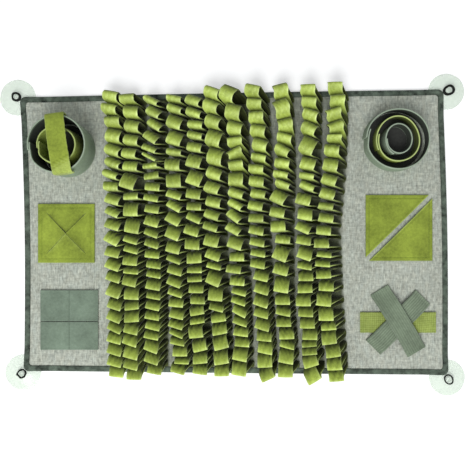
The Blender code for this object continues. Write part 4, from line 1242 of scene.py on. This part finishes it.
def add_slit_pocket():
    """A square of felt with an X cut into it, in four flaps joined outside the cuts.

    Each flap is a grid of levels, 1 at the square's side to 0 at its middle, and places u along it,
    -1 to 1: the point is (u (level - s), -level) turned by the flap, where s is half the cut's
    width. The flap's height above the felt is its lift times (1 - level / reach)^1.6, and its edges
    curl up or down beside its middle.
    """
    left, right, bottom, top = SLIT_POCKET
    middle = np.array([0.5 * (left + right), 0.5 * (bottom + top)])
    half = np.array([0.5 * (right - left), 0.5 * (top - bottom)])
    size = float(half.mean())
    slit = SLIT_HALF / size
    outer = 1.0 - side_places(2.0 * size, 2.0, FELT_SOFT) / size
    outer = outer[outer > SLIT_REACH + 0.02]
    levels = np.concatenate([outer, [SLIT_REACH], np.linspace(SLIT_REACH - 0.02, 1.5 * slit, 30)])
    even = np.linspace(-1.0, 1.0, 49)
    across = np.sign(even) * (1.0 - (1.0 - np.abs(even)) ** 1.25)
    level, u = np.meshgrid(levels, across, indexing="ij")
    cut = slit * np.sqrt(np.clip(1.0 - (level / SLIT_REACH) ** 2, 0.0, 1.0))
    reach = np.maximum(level - cut, 0.0)
    to_side = (1.0 - level) * size
    to_cut = np.where(level < SLIT_REACH, (reach - np.abs(u) * reach) * size / math.sqrt(2.0),
                      np.hypot(np.abs(u) * level - SLIT_REACH, level - SLIT_REACH) * size)
    depth = np.minimum(to_side, to_cut)
    rise = np.clip(1.0 - level / SLIT_REACH, 0.0, 1.0) ** 1.6
    # Painted light along the cuts, and painted shade in the stitch groove and along the square's edge.
    near_cut = np.where(level < SLIT_REACH, np.exp(-to_cut / 2.6), 0.0)
    seam_shade = 0.45 * (bump_at(to_side, SLIT_SEAM_IN, 0.9) + 0.7 * np.exp(-to_side / 1.6))
    flaps = []
    for flap in range(4):
        turn = 0.5 * math.pi * flap
        a, b = u * reach, -level
        x = middle[0] + half[0] * (a * math.cos(turn) - b * math.sin(turn))
        y = middle[1] + half[1] * (a * math.sin(turn) + b * math.cos(turn))
        curl = FLAP_CURL * rise * (np.abs(u) ** 2 - 0.3) * (1.0 if flap % 2 else -0.4)
        height = TOP_OF_FELT + FLAP_LIFTS[flap] * rise + curl
        height = height - stitch_groove(to_side, SLIT_SEAM_IN, SLIT_SEAM_DEEP, 1.0)
        height = height - FELT_UNEVEN * (1.0 + rumple(x, y, 301, 26.0))
        height = np.maximum(height, SEWN_ON + 0.9 * FELT - SLIT_SEAM_DEEP)
        flaps.append((x, y, height, depth, FLAP_SHADES[flap] * near_cut - seam_shade))
    x, y, height, depth, tone = (np.vstack(values) for values in zip(*flaps))
    piece = sheet_piece("slit_square", x, y, height, depth, FELT, "slit_pocket", "lime_felt",
                        shade=tone, parts=4, under=SEWN_ON)
    x = (left + SLIT_SEAM_IN, right - SLIT_SEAM_IN)
    y = (bottom + SLIT_SEAM_IN, top - SLIT_SEAM_IN)
    low = TOP_OF_FELT - SLIT_SEAM_DEEP
    ring = [(x[i], y[j], low) for i, j in ((0, 0), (1, 0), (1, 1), (0, 1), (0, 0))]
    seam = list(zip(ring, ring[1:]))
    threads = add_seams("slit_stitches", seam, "lime_thread")


def add_sewn_felt(name, node, finish, x, y, rise, depth, tone, grain, seam):
    """A flat pocket's felt with its stitches. grain is the seed and length of its unevenness."""
    top = TOP_OF_FELT + rise - FELT_UNEVEN * (1.0 + rumple(x, y, *grain))
    piece = sheet_piece(name, x, y, top, depth, SHEET_FELT, node, finish, shade=tone)
    threads = add_seams(name + "_stitches", seam, finish.replace("felt", "thread"))


def add_sage_half(name, node, low_side, high_side, mouth_up):
    """Half of the sage pocket: sewn on three sides and down its middle, puffed at its mouth.

    The puff is its most at the mouth, times the square of the share of the way to it and the size
    of the sine of two half turns across.
    """
    left, right = SAGE_POCKET[:2]
    middle = 0.5 * (left + right)
    x, y = np.meshgrid(left + side_places(right - left, 1.8, FELT_SOFT),
                       low_side + side_places(high_side - low_side, 1.8, FELT_SOFT))
    up, down = y - low_side, high_side - y
    closed_end, mouth = (up, down) if mouth_up else (down, up)
    sewn = np.minimum(np.minimum(x - left, right - x), closed_end)
    puff = SAGE_PUFF * (closed_end / (high_side - low_side)) ** 2
    puff = puff * np.abs(turn_sine((x - left) / (right - left))) ** 0.8
    groove = stitch_groove(sewn, SAGE_SEAM_IN) + stitch_groove(x, middle, 0.6, 1.1)
    # Painted shade in the middle crease, at the mouth and along the sewn sides, with a little random tone.
    tone = -0.4 * bump_at(x, middle, 0.9) - 0.5 * np.exp(-mouth / 2.2)
    tone = tone - 0.5 * np.exp(-sewn / 1.5) + 0.06 * rumple(x, y, 318, 14.0)
    end = low_side + SAGE_SEAM_IN if mouth_up else high_side - SAGE_SEAM_IN
    lip = high_side - 2.0 if mouth_up else low_side + 2.0
    level = TOP_OF_FELT - 0.5
    first, last = left + SAGE_SEAM_IN, right - SAGE_SEAM_IN
    seam = [[(first, lip, level), (first, end, level)], [(first, end, level), (last, end, level)],
            [(last, end, level), (last, lip, level)],
            [(middle, end, level - 0.1), (middle, lip, level - 0.1)]]
    add_sewn_felt(name, node, "sage_felt", x, y, puff - groove, np.minimum(sewn, mouth), tone,
                  (311, 24.0), seam)


def add_sage_pocket():
    bottom, top = SAGE_POCKET[2:]
    half_gap = 0.5 * SAGE_MOUTH_GAP
    add_sage_half("sage_upper", "sage_pocket_top", SAGE_MOUTH + half_gap, top, False)
    add_sage_half("sage_lower", "sage_pocket_bottom", bottom, SAGE_MOUTH - half_gap, True)


def add_corner_half(name, node, corner, first, second, seed):
    """A triangle of felt, sewn on its two short sides, whose long side stands open a little.

    Rows run parallel to the long side: at share s of the way from the corner and place t along the
    row, the point is corner + s ((1 - t) (first - corner) + t (second - corner)), and the felt
    rises by its puff times s^3 sin(pi t).
    """
    corner, first, second = (np.array(p, dtype=float) for p in (corner, first, second))
    reach = float(np.linalg.norm(first - corner))
    height = reach / math.sqrt(2.0)
    share = 1.0 - side_places(2.0 * height, 1.7, FELT_SOFT) / height
    share = np.append(share[share > 0.01], 0.0)
    place = side_places(2.0 * reach, 2.2, 2.4) / (2.0 * reach)
    share, place = np.meshgrid(share, place, indexing="ij")
    step = (1.0 - place)[..., None] * (first - corner) + place[..., None] * (second - corner)
    spot = corner + share[..., None] * step
    x, y = spot[..., 0], spot[..., 1]
    legs = np.minimum(share * place, share * (1.0 - place)) * reach
    long_side = (1.0 - share) * height
    rise = CORNER_PUFF * share ** 3 * np.sin(math.pi * place) - stitch_groove(legs, CORNER_SEAM_IN)
    # Painted shade in the stitch groove and along the sewn sides, a painted highlight along the open long
    # side and painted shade a little inside it.
    tone = -0.6 * bump_at(legs, CORNER_SEAM_IN, 0.9) - 0.45 * np.exp(-legs / 1.6)
    tone = tone + 0.7 * np.exp(-long_side / 1.4) - 0.6 * bump_at(long_side, 3.4, 1.2)
    inward = CORNER_SEAM_IN * (np.sign(first - corner) + np.sign(second - corner))
    bend = corner + inward
    level = TOP_OF_FELT - 0.5
    seam = []
    for end in (first, second):
        way = unit(end - corner)
        aside = inward - np.dot(inward, way) * way
        seam.append([(*bend, level), (*(end + aside - way * (CORNER_SEAM_IN + 3.0)), level)])
    add_sewn_felt(name, node, "lime_felt", x, y, rise, np.minimum(legs, long_side), tone, (seed, 26.0),
                  seam)


def add_corner_pocket():
    """Two triangles that make a square, parted along the diagonal from top right to bottom left."""
    left, right, bottom, top = CORNER_POCKET
    back = CORNER_GAP / math.sqrt(2.0)
    add_corner_half("corner_left", "corner_pocket_left", (left, top), (left, bottom + back),
                    (right - back, top), 321)
    add_corner_half("corner_right", "corner_pocket_right", (right, bottom), (right, top - back),
                    (left + back, bottom), 331)


def add_strap(name, node, finish, start, end, lift, reaches, knit, seed):
    """A flat strap sewn at its ends. Between its reaches it rises smoothly over what it crosses.

    knit gives how strongly rows along it and ribs across it show in its colour.
    """
    start, end = np.array(start), np.array(end)
    length = float(np.linalg.norm(end - start))
    way = (end - start) / length
    side = np.array([-way[1], way[0], 0.0])
    place = np.linspace(0.0, length, 90)
    near = np.minimum(place, length - place)
    rise = lift * rise_between(near, *reaches)
    line = np.column_stack([start + place[:, None] * way, SEWN_ON + 0.5 * FELT + rise])

    def furrows(run, share):
        lines = sum(bump_at(share, at, 0.05) for at in STRAP_FURROWS)
        sewn = stitch_groove(np.minimum(run, length - run), STRAP_SEAM_IN, 0.35)
        return -0.16 * lines - sewn + 0.2 * ripple(run, seed, 40.0) * share

    # Knit rows and ribs in the colour, with painted shade towards both edges.
    def tone(run, share):
        off = 0.5 * STRAP_WIDE * share
        rows = off / KNIT_ROW + 0.35 * ripple(run, seed + 60, 60.0)
        ribs = run / KNIT_RIB + 0.3 * ripple(off + run, seed + 61, 40.0)
        rim = rise_between(np.abs(share), *STRAP_EDGE_SHADE)
        return knit[0] * turn_sine(rows) + knit[1] * turn_sine(ribs) - 0.7 * rim

    reach = 0.5 * STRAP_WIDE * side
    piece, flat = band_piece(name, line - reach, line + reach, FELT, 60, node, finish, floor=SEWN_ON,
                             swell=furrows, ragged=0.2, shade=tone)
    seams = []
    for at in (STRAP_SEAM_IN, length - STRAP_SEAM_IN):
        spot = np.array([*(start + at * way), SEWN_ON + FELT - 0.25])
        seams.append([spot - 0.92 * reach, spot + 0.92 * reach])
    threads = add_seams(name + "_stitches", seams, finish.replace("strap", "thread"))


# ---- suction cups and their tabs ----

CUP_STEPS = 96
THIN_RIM = (18.0, CUP_RADIUS)                  # radii between which a cup's rim waves more and more
# Radius and height round half a suction cup's section: dished underside, thin rim, disc, neck, head.
CUP_PROFILE = [
    (0.0, 1.4), (4.0, 1.3), (8.0, 1.1), (13.0, 0.75), (18.0, 0.4), (23.0, 0.12), (26.5, 0.0),
    (29.2, 0.0), (29.85, 0.2), (30.0, 0.45), (29.85, 0.7), (29.2, 0.9), (26.0, 1.06), (24.0, 1.2),
    (20.0, 1.45), (16.0, 1.8), (12.0, 2.25), (8.0, 2.8), (5.0, 3.15), (3.6, 3.5), (2.95, 4.1),
    (2.8, 5.0), (2.8, 6.6), (3.1, 7.05), (3.9, 7.35), (4.2, 7.8), (4.2, 9.2), (3.95, 9.85),
    (3.3, 10.25), (2.2, 10.45), (0.0, 10.5),
]
# Each elastic tab: width and height of its section, radius of its ring, how uneven the ring is, how
# far it is drawn out towards the mat, and its twist in degrees.
TABS = [
    (4.4, 2.5, 5.4, 0.5, 1.6, 0.0), (3.2, 2.4, 5.8, 1.3, 2.0, 70.0),
    (2.4, 2.2, 5.8, 0.4, 3.5, 15.0), (4.5, 2.4, 5.4, 0.6, 5.0, 10.0),
]
TAB_MIDDLE = 5.5


def add_suction_cup(index):
    """Turn CUP_PROFILE about a corner's neck. The thin rim waves a little, more towards its edge."""
    profile = np.array(CUP_PROFILE)
    angle = round_angles(CUP_STEPS)
    thin = rise_between(profile[:, :1], *THIN_RIM)
    wave = np.sin(3.0 * angle + index) + 0.6 * np.sin(7.0 * angle + 2.0 * index)
    size = profile[:, :1] * (1.0 - 0.006 * thin * (1.0 + wave))
    x = NECKS[index, 0] + size * np.cos(angle)
    y = NECKS[index, 1] + size * np.sin(angle)
    points = join(x, y, profile[:, 1:])
    quads = grid_quads(len(profile), CUP_STEPS, ring_cols=True)
    make_piece(f"clear_cup_{index + 1}", points, quads, lay(x.shape), f"suction_cup_{index + 1}",
               "clear_vinyl", sharp=70.0)


def add_tab(index):
    """A loop of elastic round the neck: a rounded section carried round a circle and twisted."""
    wide, high, radius, uneven, drawn, twist = TABS[index]
    angle = round_angles(120)
    corner = heading(round_angles(16))
    across, up = (0.5 * np.array([wide, high]) * np.sign(corner) * np.abs(corner) ** 0.7).T
    turned = math.radians(twist) * np.sin(2.0 * angle + index)[:, None]
    radial = across * np.cos(turned) - up * np.sin(turned)
    upward = across * np.sin(turned) + up * np.cos(turned)
    wander = uneven * ripple(angle * radius, 400 + index, 9.0)
    wander = (wander + drawn * (0.5 - 0.5 * np.cos(angle)) ** 2) * np.sin(0.5 * angle) ** 2
    ring = radius + wander[:, None] + radial
    way = heading(math.radians(CORNERS[index, 2]) + math.pi + angle)[:, None, :]
    x, y = (NECKS[index] + ring[..., None] * way).transpose(2, 0, 1)
    points = join(x, y, TAB_MIDDLE + upward + 0.3 * wander[:, None])
    cloth = lay(ring.shape, (angle * radius)[:, None])
    quads = grid_quads(len(angle), len(corner), ring_rows=True, ring_cols=True)
    make_piece(f"elastic_tab_{index + 1}", points, quads, cloth, f"corner_tab_{index + 1}", "elastic")


def build():
    add_camera()
    add_key_light()
    add_surround()
    make_finishes()
    add_panel()
    add_binding()
    for index in range(len(RIBBONS)):
        add_loop_ribbon(index)
    add_tall_pocket()
    add_low_pocket()
    add_slit_pocket()
    add_sage_pocket()
    add_corner_pocket()
    for seed, strap in enumerate(STRAPS, start=341):
        add_strap(*strap, seed)
    for index in range(len(CORNERS)):
        add_suction_cup(index)
        add_tab(index)


build()
